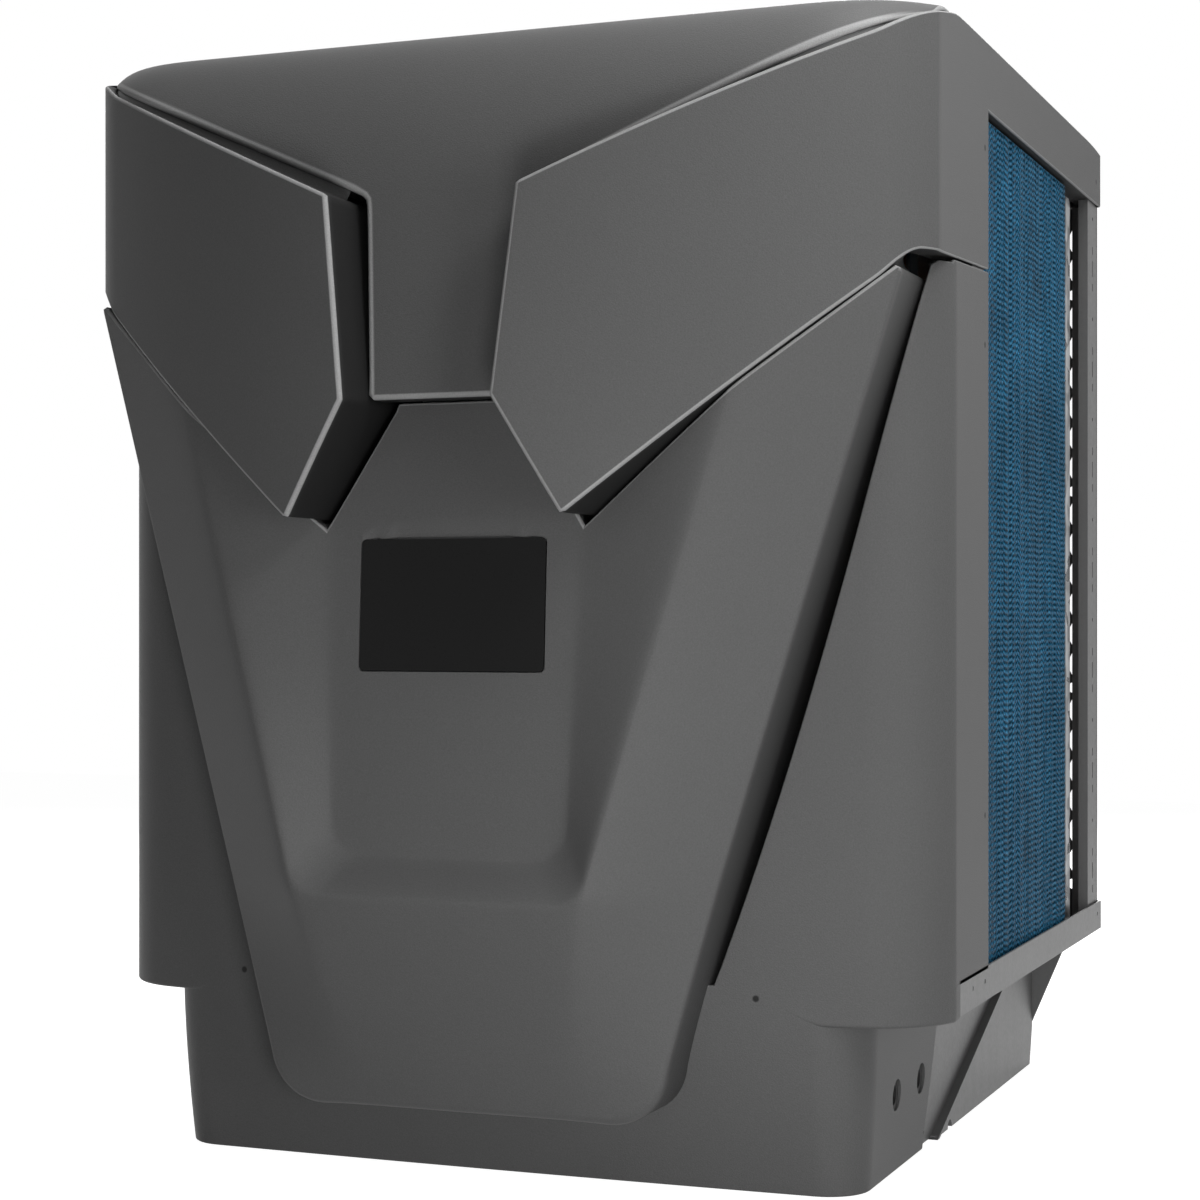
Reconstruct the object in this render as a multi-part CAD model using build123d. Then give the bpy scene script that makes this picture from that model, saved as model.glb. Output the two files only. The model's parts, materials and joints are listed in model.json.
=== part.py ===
"""Pool heat pump: moulded front and hood over a steel frame, finned coils on both sides, fan at the rear.

Units are millimetres. The origin is on the floor under the middle of the cabinet,
+X to the right seen from the front, +Y to the rear and +Z up.
"""
from build123d import *
from math import cos, radians, sin, sqrt
import os

os.makedirs("parts", exist_ok=True)

# Cabinet
HALF_WIDTH = 397.5
REAR = 457.5
HEIGHT = 1000.0
MIDDLE_Y = 28.4                 # middle of the whole depth, with the water unions
WALL = 3.5                      # moulded covers
SHEET = 2.0                     # steel sheet
SEAM = 1.5                      # gap between neighbouring covers
PAN_BOTTOM, PAN_TOP = 148.5, 178.5
PAN_FRONT = -212.0
WINDOW_FRONT = -104.0           # front edge of the side air windows
WINDOW_TOP = 939.5
HOOD_LOW = 790.0                # lower edge of the hood at the sides
SIDE_RISE = 8.0                 # the seam under the hood rises by this towards the window

# Front cover
BODY_FRONT, BODY_FRONT_RADIUS, BODY_CORNER = -318.0, 1800.0, 62.0
SKIRT_HALF, SKIRT_FRONT, SKIRT_CORNER, SKIRT_RADIUS = 326.0, -282.0, 40.0, 9000.0
SKIRT_RISE, SKIRT_SPREAD = 14.0, 8.0        # the skirt runs on above the pan's level, and is wider there
SKIRT_REAR = ((-64.0, -5.0), (-15.0, 170.0))
SHIELD_LOW, RECESS_LOW, PANEL_LOW = 72.0, 250.0, 284.0
SHIELD_CORNER, PANEL_CORNER, MOUTH_CORNER = 34.0, 30.0, 22.0
CREASE_FOOT, CREASE_BREAK = (100.0, -368.0), (129.7, -421.0)
NOTCH = [(0, 671.5), (52.6, 671.5), (119, 564.5), (389, 786.5), (HALF_WIDTH, HOOD_LOW - SEAM)]
SLOT_WIDTH, SLOT_LOW = 6.0, 176.0
HOOK_LEVELS = (210.0, 360.0, 510.0)

# Display
DISPLAY_WIDTH, DISPLAY_HEIGHT, DISPLAY_Z, DISPLAY_GAP = 171.0, 112.0, 498.8, 0.8

# Entries and screws of the covers
CABLE_HOLES, CABLE_Z, CABLE_RADIUS = (-169.0, -83.0), 70.0, 15.0
FRONT_SCREWS = [(244.0, -301.5, 168.0), (-244.0, -301.5, 168.0)]
TAB_Y = -279.0                  # front of the deck's screw tabs
SIDE_SCREWS = [(-117.0, 904.0), (428.0, 963.0), (-164.0, 166.0), (-117.0, 166.0), (436.0, 166.0),
               (-117.0, 729.5), (-117.0, 313.0)]

# Hood: outline of a wing seen from the front, and its lean
WING = [(86.8, 840.6), (67.9, 668.5), (125.5, 571.4), (389, 788.3), (400, 790), (400, 983)]
WING_BACK = -298.0
HOOD_CORNER, HOOD_CORNER_END = 61.0, -278.0
# level, and Y of the front arc at the middle, at WING_X and at the side
WING_X = 214.0
HOOD_LEVELS = ((560.0, (-471.5, -413.5, -310.5)), (1000.0, (-448.5, -409.0, -310.5)))
LID_LOW, LID_BREAK, LID_FLAT = (-404.0, 677.0), (-392.0, 849.0), (-293.0, HEIGHT)
BROW_FULLNESS = 0.55
LID_OUTLINE = [(66, 677), (74, 849), (386, 986.5), (393.5, 989), (393.5, 1001)]

# Side coils
COIL_IN, COIL_OUT = 334.0, 378.0
COIL_FRONT, COIL_REAR = -98.0, 352.0
TUBE_PITCH, TUBE_ROWS, TUBE_RADIUS = 25.4, 30, 4.8
COIL_LOW = PAN_BOTTOM + SHEET + 1.5
COIL_HIGH = 936.0

HEADER_X, HEADER_Y = 320.0, -132.0
LIQUID_X, LIQUID_Y = 294.0, -99.0

# Fan, on an axis along Y
FAN_Z, FAN_RADIUS, HUB_RADIUS = 560.0, 288.0, 68.0
RING_RADIUS = 298.0
SHROUD_Y = 384.0
SHAFT_RADIUS = 7.0
SHAFT_CLEAR = 0.05
GUARD_Y = 451.0
HEX_ACROSS, HEX_COLUMN_X, HEX_STEP_X, HEX_STEP_Z = 26.0, 375.0, 28.6, 33.0

# Water unions in the rear base wall
WALL_Y = 438.0
UNION_X, UNION_Z = 120.0, 96.0
SOCKET_RADIUS = 25.0
RUNNING_GAP = 0.4

# Machine room, in plan
COMPRESSOR = (-150.0, -190.0)
ACCUMULATOR = (-268.0, -180.0)
EXCHANGER = (120.0, -192.0)
WATER_RISERS = (90.0, 150.0)
DECK = PAN_BOTTOM + SHEET
VALVE_X, VALVE_Y, VALVE_Z = -70.0, -150.0, 560.0


def box(x0, x1, y0, y1, z0, z1):
    """Box between two corners."""
    size = (x1 - x0, y1 - y0, z1 - z0)
    return Pos((x0 + x1) / 2, (y0 + y1) / 2, (z0 + z1) / 2) * Box(*size)


def rod(radius, start, end):
    """Round bar between two points."""
    axis = Vector(*end) - Vector(*start)
    return Plane(origin=start, z_dir=axis) * Pos(0, 0, axis.length / 2) * Cylinder(radius, axis.length)


def tube(outer, inner, start, end):
    """Pipe or ring between two points."""
    axis = (Vector(*end) - Vector(*start)).normalized() * 5
    return rod(outer, start, end) - rod(inner, Vector(*start) - axis, Vector(*end) + axis)


def along_y(outline, y0, y1, rounds=()):
    """Prism along Y from an outline of (x, z) points; rounds are (corner index, radius)."""
    face = make_face(Polyline(*[(x, z) for x, z in outline], close=True))
    for index, radius in rounds:
        corner = face.vertices().sort_by_distance((outline[index][0], outline[index][1], 0))[0]
        face = fillet(corner, radius)
    return extrude(Plane(origin=(0, y1, 0), x_dir=(1, 0, 0), z_dir=(0, -1, 0)) * face, y1 - y0)


def along_x(outline, x0, x1):
    """Prism along X from an outline of (y, z) points."""
    face = make_face(Polyline(*outline, close=True))
    return extrude(Plane(origin=(x0, 0, 0), x_dir=(0, 1, 0), z_dir=(1, 0, 0)) * face, x1 - x0)


def both(right):
    """A right-hand piece together with its mirror image."""
    return right + mirror(right, about=Plane.YZ)


def left_of(right):
    return mirror(right, about=Plane.YZ)


def side_screw_holes():
    """Clearance holes for the screws along both sides of the cabinet."""
    spots = [rod(2.2, (HALF_WIDTH - 12, y, z), (HALF_WIDTH + 3, y, z)) for y, z in SIDE_SCREWS]
    return spots + [left_of(hole) for hole in spots]


def write(name, shape):
    """One STEP file per node, moved so that the origin is under the middle of the whole unit."""
    solids = [Pos(0, -MIDDLE_Y, 0) * solid for solid in shape.solids()]
    made = solids[0] if len(solids) == 1 else Compound(children=solids)
    made.label = name
    export_step(made, f"parts/{name}.step")


# ---------------------------------------------------------------- plan outlines

def body_plan(z, inset=0.0):
    """Front cover in plan: a shallow arc with rounded corners, open behind the window edge."""
    centre = BODY_FRONT + BODY_FRONT_RADIUS
    half = HALF_WIDTH - inset
    disc = Pos(0, centre) * Circle(BODY_FRONT_RADIUS - inset)
    face = disc & Pos(0, -250) * Rectangle(2 * half, 300)
    corners = face.vertices().sort_by(Axis.Y)[:2]
    return Pos(0, 0, z) * fillet(corners, BODY_CORNER - inset)


def hood_plan(z, front, inset=0.0):
    """Hood in plan: each half is an arc through three points, with rounded front corners."""
    y_mid, y_wing, y_side = front
    half = HALF_WIDTH - inset
    arcs = [
        ThreePointArc((0, y_mid + inset), (s * WING_X, y_wing + inset), (s * half, y_side + inset))
        for s in (1, -1)
    ]
    sides = [Line((s * half, y_side + inset), (s * half, REAR)) for s in (1, -1)]
    back = Line((-half, REAR), (half, REAR))
    face = make_face(arcs + sides + [back])
    corners = [face.vertices().sort_by_distance((s * half, y_side + inset, 0))[0] for s in (1, -1)]
    return Pos(0, 0, z) * fillet(corners, HOOD_CORNER - inset)


def hood_envelope(inset=0.0):
    sections = [hood_plan(z, front, inset) for z, front in HOOD_LEVELS]
    return loft(sections, ruled=True)


def wing_prism(inset=0.0, back=WING_BACK):
    """Both wings as prisms through the hood; a negative inset leaves a gap round them."""
    right = along_y(WING, -500, back, [(2, 6)])
    if inset:
        face = make_face(Polyline(*WING, close=True))
        face = offset(face, -inset, kind=Kind.INTERSECTION)
        plane = Plane(origin=(0, back, 0), x_dir=(1, 0, 0), z_dir=(0, -1, 0))
        right = extrude(plane * face, back + 500)
    return both(right)


# ---------------------------------------------------------------- front cover

def edge_x(z):
    return 187.0 + (z - 120) * 0.2932


def edge_y(z):
    return -361.0 + (z - 120) * 0.05


def crease_x(z):
    return 138.3 + (z - 280) * 0.2867


def crease_y(z):
    return -422.0 + (z - 280) * 0.0653


def panel_x(z):
    return 107.9 + (z - 280) * 0.0379


def panel_y(z):
    return -393.0 + (z - 280) * 0.0535


def shield_back(z):
    """The shield's side walls reach further back near the hood, where the frame curves away."""
    return -284.0 + (z - SHIELD_LOW) * 0.031


def shield_section(z, inset, crease=None):
    """Cross-section of the raised shield at one level: two sloping side faces and a flat front."""
    x1, y1 = crease or (crease_x(z), crease_y(z))
    right = [(edge_x(z) - inset, edge_y(z) + inset), (x1 - inset * 0.3, y1 + inset * 1.1)]
    left = [(-x, y) for x, y in reversed(right)]
    back_y = shield_back(z) + 2 * abs(inset)
    back = [(-edge_x(z) + inset, back_y), (edge_x(z) - inset, back_y)]
    return Pos(0, 0, z) * make_face(Polyline(*(right + left + back), close=True))


def shield_body(inset=0.0):
    """Raised shield, leaning back below the recess and along the creases above it."""
    low, high = SHIELD_LOW + inset, HOOD_LOW + 5
    foot = shield_section(low, inset, CREASE_FOOT)
    middle = shield_section(RECESS_LOW, inset, CREASE_BREAK)
    body = loft([foot, middle], ruled=True) + loft([middle, shield_section(high, inset)], ruled=True)
    outline = [(edge_x(low) - inset, low), (edge_x(high) - inset, high), (0, high), (0, low)]
    return body & both(along_y(outline, -500, -200, [(0, SHIELD_CORNER - inset)]))


def sloping_face(bottom, half_bottom, top, half_top, y_at, radius):
    """Rounded trough outline in a plane that leans back; y_at gives Y at a level."""
    slope = (y_at(top) - y_at(bottom)) / (top - bottom)
    stretch = sqrt(1 + slope * slope)
    plane = Plane(origin=(0, y_at(0), 0), x_dir=(1, 0, 0), z_dir=(0, -1, slope))
    points = [(half_bottom, bottom), (half_top, top), (-half_top, top), (-half_bottom, bottom)]
    face = make_face(Polyline(*[(x, z * stretch) for x, z in points], close=True))
    corners = face.vertices().sort_by(Axis.Y)[:2]
    return plane * fillet(corners, radius)


def recess(grow=0.0):
    """The trough between the ridges, from the panel floor out past the creases."""
    top = HOOD_LOW + 15

    def floor_y(z):
        return panel_y(z) + grow

    def mouth_y(z):
        return 2 * crease_y(z) - panel_y(z)

    half_floor = panel_x(PANEL_LOW) + grow
    floor = sloping_face(PANEL_LOW - grow, half_floor, top, panel_x(top) + grow, floor_y, PANEL_CORNER + grow)
    low = 2 * RECESS_LOW - PANEL_LOW
    half_low = 2 * CREASE_BREAK[0] - panel_x(PANEL_LOW)
    half_top = 2 * crease_x(top) - panel_x(top)
    mouth = sloping_face(low - grow, half_low + grow, top, half_top + grow, mouth_y, MOUTH_CORNER + grow)
    return loft([floor, mouth], ruled=True)


def skirt_plan(z, half, front, corner, radius, inset):
    disc = Pos(0, front + radius) * Circle(radius - inset)
    face = disc & Pos(0, -150) * Rectangle(2 * (half - inset), 400)
    corners = face.vertices().sort_by(Axis.Y)[:2]
    return Pos(0, 0, z) * fillet(corners, corner - inset)


def skirt_body(inset=0.0):
    """Base skirt: nearly straight on the floor, swelling into the cover's arc above."""
    low = -1.0 if inset else 0.0
    high = PAN_BOTTOM + SKIRT_RISE
    foot = skirt_plan(low, SKIRT_HALF, SKIRT_FRONT, SKIRT_CORNER, SKIRT_RADIUS, inset)
    half, corner = SKIRT_HALF + SKIRT_SPREAD, BODY_CORNER - SKIRT_SPREAD
    top = skirt_plan(high, half, BODY_FRONT, corner, BODY_FRONT_RADIUS, inset)
    (y0, z0), (y1, z1) = SKIRT_REAR
    beyond = along_x([(y0, z0), (60, z0), (60, z1), (y1, z1)], -450, 450)
    return loft([foot, top], ruled=True) - beyond


def front_region():
    """Space kept for the front mouldings: under the notch and the hood's seam, and clear of the pan."""
    notch = [(-x, z) for x, z in reversed(NOTCH)][:-1] + NOTCH + [(400, -5), (-400, -5)]
    seam = HOOD_LOW - SEAM
    corner_end = HOOD_CORNER_END
    sides = [(corner_end, seam), (WINDOW_FRONT, seam + SIDE_RISE), (0, seam), (0, -5), (corner_end, -5)]
    kept = along_y(notch, -500, corner_end) + along_x(sides, -400, 400)
    kept -= box(-400, 400, WINDOW_FRONT, 0, PAN_BOTTOM - 0.5, 810)
    return kept - box(-400, 400, PAN_FRONT - 0.3, 0, PAN_BOTTOM - 0.3, PAN_TOP + 0.3)


def front_shield():
    """Removable shield with the display opening; hooks reach behind the frame across the side slots."""
    shell = (shield_body() - recess()) - (shield_body(WALL) - recess(WALL))
    for z in HOOK_LEVELS:
        tip = edge_x(z) + 16
        inner_y = BODY_FRONT + BODY_FRONT_RADIUS - sqrt((BODY_FRONT_RADIUS - WALL) ** 2 - tip**2)
        shell += both(box(edge_x(z) - WALL, tip, inner_y + 0.3, inner_y + 3.3, z - 12, z + 12))
    shell &= front_region()
    return shell - display_cut(DISPLAY_WIDTH + 2 * DISPLAY_GAP, DISPLAY_HEIGHT + 2 * DISPLAY_GAP, 40)


def front_frame():
    """Cover round the shield and the skirt under it, in one moulding with rounded corners."""
    height = HOOD_LOW + SIDE_RISE - PAN_BOTTOM
    outer = extrude(body_plan(PAN_BOTTOM), height) + skirt_body()
    hollow = extrude(body_plan(PAN_BOTTOM + WALL, WALL), height) + skirt_body(WALL)
    shell = (outer - hollow - shield_body(-0.3)) & front_region()
    shell -= both(vent_slot())
    for x, y, z in FRONT_SCREWS:
        shell += rod(6, (x, y + WALL - 0.5, z), (x, TAB_Y - 0.2, z))
        shell -= rod(3.0, (x, y - 8, z), (x, y + 2.4, z))
        shell -= rod(1.7, (x, y - 8, z), (x, y + 40, z))
    for y in CABLE_HOLES:
        shell -= rod(CABLE_RADIUS, (SKIRT_HALF - 20, y, CABLE_Z), (SKIRT_HALF + 25, y, CABLE_Z))
    return shell - side_screw_holes()


def vent_slot():
    """Slot along the right foot of the raised shield, from the hood down to above the skirt."""
    low, high = SLOT_LOW, HOOD_LOW - 4
    inner, outer = -2.0, SLOT_WIDTH
    outline = [(edge_x(low) + inner, low), (edge_x(high) + inner, high), (edge_x(high) + outer, high),
               (edge_x(low) + outer, low)]
    return along_y(outline, -345, -255)


def display_plane(depth=0.0):
    """Plane behind the panel floor at the middle of the display, facing the viewer."""
    slope = 0.0535
    surface = Plane(origin=(0, panel_y(DISPLAY_Z), DISPLAY_Z), x_dir=(1, 0, 0), z_dir=(0, -1, slope))
    return surface.offset(-depth)


def display_cut(width, height, depth):
    return extrude(display_plane(depth) * RectangleRounded(width, height, 5), depth + 20)


def display_glass():
    return extrude(display_plane(2.5) * RectangleRounded(DISPLAY_WIDTH, DISPLAY_HEIGHT, 4), 2.5)


def display_module():
    """Screen housing behind the glass: a flange against the back of the cover and an open-backed case."""
    case = extrude(display_plane(24) * RectangleRounded(DISPLAY_WIDTH - 8, DISPLAY_HEIGHT - 6, 3), 21.4)
    flange = display_plane(12) * RectangleRounded(DISPLAY_WIDTH + 26, DISPLAY_HEIGHT + 26, 4)
    case += extrude(flange, 12 - WALL - 0.6)
    pocket = display_plane(24.5) * RectangleRounded(DISPLAY_WIDTH - 16, DISPLAY_HEIGHT - 14, 2)
    return case - extrude(pocket, 18)


# ---------------------------------------------------------------- hood and lid

def hood_side():
    """Side panel of the hood: a deep front part and a rail over the window."""
    low, front = HOOD_LOW - 1, HOOD_CORNER_END - 22
    outline = [(front, low), (HOOD_CORNER_END, low), (WINDOW_FRONT, low + SIDE_RISE)]
    outline += [(WINDOW_FRONT, WINDOW_TOP), (REAR, WINDOW_TOP), (REAR, HEIGHT), (-217, HEIGHT), (front, 983)]
    return along_x(outline, HALF_WIDTH - WALL, HALF_WIDTH) & hood_envelope()


def hood_ledge():
    """Flange that closes the hood's front corner from below, back to the front frame's own corner."""
    (z0, low), (z1, high) = HOOD_LEVELS
    share = (HOOD_LOW - z0) / (z1 - z0)
    front = [a + (b - a) * share for a, b in zip(low, high)]
    plate = extrude(hood_plan(HOOD_LOW, front, 1.2), WALL)
    plate &= box(HALF_WIDTH - HOOD_CORNER, HALF_WIDTH, WING_BACK - 4, -215, HOOD_LOW - 1, HOOD_LOW + 2 * WALL)
    return plate - extrude(body_plan(HOOD_LOW - 2, -SEAM), 3 * WALL)


def hood_cover():
    """Two wings, the sides and the rear rail over the fan wall."""
    outer = hood_envelope() & wing_prism()
    inner = hood_envelope(WALL) & wing_prism(WALL, WING_BACK + 5)
    hood = outer - inner + both(hood_side()) + both(hood_ledge())
    hood += box(-HALF_WIDTH, HALF_WIDTH, REAR - WALL, REAR, WINDOW_TOP, HEIGHT)
    return hood - side_screw_holes()


def lid_profile(inset):
    """Lid in side view: a leaning front, a brow that rolls over smoothly and a flat top."""
    (y0, z0), (y1, z1), (y2, z2) = LID_LOW, LID_BREAK, LID_FLAT
    lean = (y1 - y0) / (z1 - z0)
    low, start = Vector(y0 + inset, z0), Vector(y1 + inset, z1)
    end, rear = Vector(y2 + inset, z2 - inset), Vector(REAR - WALL - 0.5, z2 - inset)
    corner = start + Vector(lean, 1) * (z2 - inset - z1)
    brow = Bezier(start, start + (corner - start) * BROW_FULLNESS, end + (corner - end) * BROW_FULLNESS, end)
    return [Line(low, start), brow, Line(end, rear), Line(rear, (rear.X, z0)), Line((rear.X, z0), low)]


def lid_solid(inset):
    plane = Plane(origin=(-HALF_WIDTH + WALL + 0.5, 0, 0), x_dir=(0, 1, 0), z_dir=(1, 0, 0))
    return extrude(plane * make_face(lid_profile(inset)), 2 * (HALF_WIDTH - WALL - 0.5))


def lid():
    """Lid between the wings and over the whole top, held by the hood's walls."""
    shell = (lid_solid(0) - lid_solid(WALL)) & hood_envelope(WALL + 0.5)
    outline = [(-x, z) for x, z in reversed(LID_OUTLINE)] + LID_OUTLINE
    return shell & along_y(outline, -500, 500)


# ---------------------------------------------------------------- steel frame

def base_pan():
    """Tray that carries the coils and the fan wall, with an upstanding flange on both sides and the rear."""
    pan = box(-HALF_WIDTH, HALF_WIDTH, PAN_FRONT, REAR, PAN_BOTTOM, PAN_TOP)
    half = HALF_WIDTH - SHEET
    inside = box(-half, half, PAN_FRONT - 1, REAR - SHEET, PAN_BOTTOM + SHEET, PAN_TOP + 1)
    pan -= inside
    pan -= both(box(336 - 1, HALF_WIDTH - SHEET, PAN_FRONT - 1, PAN_FRONT + 1, 0, 300))
    pan -= rod(10, (0, 180, 100), (0, 180, 200))
    for x in WATER_RISERS:
        pan -= rod(18, (x, EXCHANGER[1], 100), (x, EXCHANGER[1], 200))
    return pan - side_screw_holes()


def base_side():
    """Folded side plate of the stand: cut away to a slope in front and turned in along the floor."""
    outline = [(-8, 0), (422, 0), (435, 40), (435, PAN_BOTTOM), (400, PAN_BOTTOM)]
    plate = along_x(outline, SKIRT_HALF - 2 * SHEET, SKIRT_HALF)
    plate += along_x([(-8, 0), (414, 0), (414, 3), (-8, 3)], SKIRT_HALF - 60, SKIRT_HALF)
    plate += box(SKIRT_HALF - 25, SKIRT_HALF, 398, 435, PAN_BOTTOM - 3, PAN_BOTTOM)
    edge = [(-12, 0), (-4, 0), (404, 142), (404, PAN_BOTTOM), (398, PAN_BOTTOM)]
    lip = along_x(edge, SKIRT_HALF - 10, SKIRT_HALF + 3)
    plate += lip
    plate -= rod(8, (SKIRT_HALF - 20, 49, 0), (SKIRT_HALF + 10, 49, 0))
    for y in (90, 340):
        plate -= rod(6.5, (SKIRT_HALF - 36, y, -2), (SKIRT_HALF - 36, y, 6))
    return plate


def front_foot_rail():
    """Cross rail under the pan behind the skirt, with the front pair of anchor holes."""
    rail = box(-316, 316, -212, -150, 0, 3) + box(-316, 316, -153, -150, 0, PAN_BOTTOM)
    rail += box(-316, 316, -180, -150, PAN_BOTTOM - 3, PAN_BOTTOM)
    for s in (1, -1):
        rail -= rod(6.5, (s * 290, -185, -2), (s * 290, -185, 6))
    for x in WATER_RISERS:
        rail -= rod(19, (x, -160, UNION_Z), (x, -140, UNION_Z))
        rail -= rod(19, (x, EXCHANGER[1], 130), (x, EXCHANGER[1], 160))
    return rail


def rear_wall():
    """Rear wall of the stand: cheeks that flare out under the pan, and the two water openings."""
    half = SKIRT_HALF
    outline = [(-half, 45), (half, 45), (half + 44, PAN_BOTTOM), (-half - 44, PAN_BOTTOM)]
    wall = along_y(outline, WALL_Y - 3, WALL_Y)
    wall += along_x([(421, 0), (424, 0), (WALL_Y, 45), (WALL_Y - 3, 45)], -half + 4.2, half - 4.2)
    wall += along_x([(390, 0), (424, 0), (424, 3), (390, 3)], -half + 62, half - 62)
    for s in (1, -1):
        wall -= rod(33, (s * UNION_X, WALL_Y - 10, UNION_Z), (s * UNION_X, WALL_Y + 10, UNION_Z))
    wall -= rod(13, (0, WALL_Y - 10, 90), (0, WALL_Y + 10, 90))
    return wall


def rear_post():
    """Slotted corner post: an outer web, a front lip and a rear leg behind the guard."""
    x, y0, y1 = HALF_WIDTH - WALL - 0.2, 398.0, 449.0
    top = WINDOW_TOP + 40
    post = box(x - SHEET, x, y0, y1, PAN_BOTTOM + SHEET, top)
    post += box(x - 10, x, y0, y0 + SHEET, PAN_BOTTOM + SHEET, top)
    post += box(x - 26, x, y1 - SHEET, y1, PAN_BOTTOM + SHEET, top)
    step = 109.0
    for k in range(7):
        centre = 214 + k * step
        for dz, length in ((-20, 9), (0, 18), (20, 9)):
            post -= slot_along_z(x, y1 - 22, centre + dz, 3.5, length)
        post -= rod(2.2, (x - 8, y1 - 22, centre + step / 2), (x + 5, y1 - 22, centre + step / 2))
    return post - side_screw_holes()


def slot_along_z(x, y, z, width, length):
    face = SlotOverall(length, width, rotation=90)
    return extrude(Plane(origin=(x - 8, y, z), x_dir=(0, 1, 0), z_dir=(1, 0, 0)) * face, 14)


def front_post():
    """Channel behind the window's front edge that carries the front cover and the coil."""
    x = HALF_WIDTH - WALL - 0.3
    y0, y1 = -150.0, -106.0
    high = WINDOW_TOP + 40
    post = box(x - SHEET, x, y0, y1, PAN_BOTTOM + SHEET, high)
    post += box(COIL_OUT - 14, x, y1 - SHEET, y1, PAN_BOTTOM + SHEET, high)
    return post - side_screw_holes()


def top_frame():
    """Rails that tie the four posts together under the lid."""
    z0, z1 = WINDOW_TOP + 16, WINDOW_TOP + 40
    x = HALF_WIDTH - 3 - SHEET
    rails = both(box(x - 2.5, x - 0.2, -104, 396, z0, z1) + box(x - 24, x - 2.5, -104, 396, z1 - SHEET, z1))
    rails += box(-x + 24, x - 24, -104, -100, z0, z1)
    rails += box(-x + 24, x - 24, 300, 304, z0, z1)
    rails += both(box(x - 24.2, x - 2.5, -104, -100, z0, z1) + box(x - 24.2, x - 2.5, 300, 304, z0, z1))
    return rails


# ---------------------------------------------------------------- coils

def coil_fins():
    """Finned block of the right-hand coil, cut into packs of fins."""
    block = box(COIL_IN, COIL_OUT, COIL_FRONT + 4, COIL_REAR - 4, COIL_LOW, COIL_HIGH)
    count = 40
    step = (COIL_REAR - COIL_FRONT - 8) / count
    for k in range(1, count):
        y = COIL_FRONT + 4 + k * step
        block -= box(COIL_OUT - 4, COIL_OUT + 1, y - 1.5, y + 1.5, COIL_LOW - 1, COIL_HIGH + 1)
    return block


def tube_levels():
    first = COIL_LOW + (COIL_HIGH - COIL_LOW - (TUBE_ROWS - 1) * TUBE_PITCH) / 2
    return [first + k * TUBE_PITCH for k in range(TUBE_ROWS)]


def coil_end_plates():
    """Tube sheets of both coils; the rear ones are channels that hide the hairpin bends."""
    front = box(COIL_IN - 2, COIL_OUT, COIL_FRONT, COIL_FRONT + 3.5, COIL_LOW, COIL_HIGH)
    y = COIL_REAR - 3.5
    sheet = box(COIL_IN - 2, COIL_OUT + 1.5, y, y + SHEET, COIL_LOW, COIL_HIGH)
    sheet += box(COIL_OUT, COIL_OUT + 1.5, y, y + 24, COIL_LOW, COIL_HIGH)
    sheet += box(COIL_IN - 2, COIL_IN, y, y + 24, COIL_LOW, COIL_HIGH)
    return Compound(children=[front, left_of(front), sheet, left_of(sheet)])


def bends(y, direction):
    """Return bends between neighbouring tubes, as mitred six-sided hairpins."""
    x = (COIL_IN + COIL_OUT) / 2
    levels = tube_levels()
    made = []
    start = 0 if direction < 0 else 1
    for low in levels[start:-1:2]:
        outer, high = y + direction * 12, low + TUBE_PITCH
        path = [(x, y, low), (x, outer, low), (x, outer, high), (x, y, high)]
        section = Plane(origin=path[0], z_dir=(0, direction, 0)) * RegularPolygon(TUBE_RADIUS, 6)
        made.append(sweep(section, path=Polyline(*path), transition=Transition.RIGHT))
    return Compound(children=made)


def coil_bends():
    right = bends(COIL_FRONT, -1)
    rear = bends(COIL_REAR - 1.4, 1)
    solids = list(right.solids()) + list(rear.solids())
    return Compound(children=solids + [mirror(s, about=Plane.YZ) for s in solids])


def header():
    """Vertical gas header and liquid line beside the front tube sheet of the right-hand coil."""
    x, y = HEADER_X, HEADER_Y
    pipes = rod(9.5, (x, y, 240), (x, y, 820)) + rod(5, (LIQUID_X, LIQUID_Y, 240), (LIQUID_X, LIQUID_Y, 820))
    for z in (300, 430, 560, 690, 800):
        pipes += rod(4, (LIQUID_X, LIQUID_Y, z), (x, y, z))
    return pipes


# ---------------------------------------------------------------- fan

def fan_rotor():
    """Three broad swept blades on a hub, bored for the motor's shaft."""
    y0, y1 = 392.0, 436.0
    hub = rod(HUB_RADIUS, (0, y0, FAN_Z), (0, y1, FAN_Z))
    hub = fillet(hub.edges().group_by(Axis.Y)[-1], 8)
    hub -= rod(HUB_RADIUS - 6, (0, y0 - 1, FAN_Z), (0, y1 - 8, FAN_Z))
    hub += rod(16, (0, y0, FAN_Z), (0, y1 - 2, FAN_Z))
    blades = [Pos(0, 0, FAN_Z) * (Rot(0, k * 120, 0) * blade()) for k in range(3)]
    rotor = hub
    for b in blades:
        rotor += b
    rotor -= rod(SHAFT_RADIUS, (0, y0 - 5, FAN_Z), (0, y1 + 5, FAN_Z))
    return rotor


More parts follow.
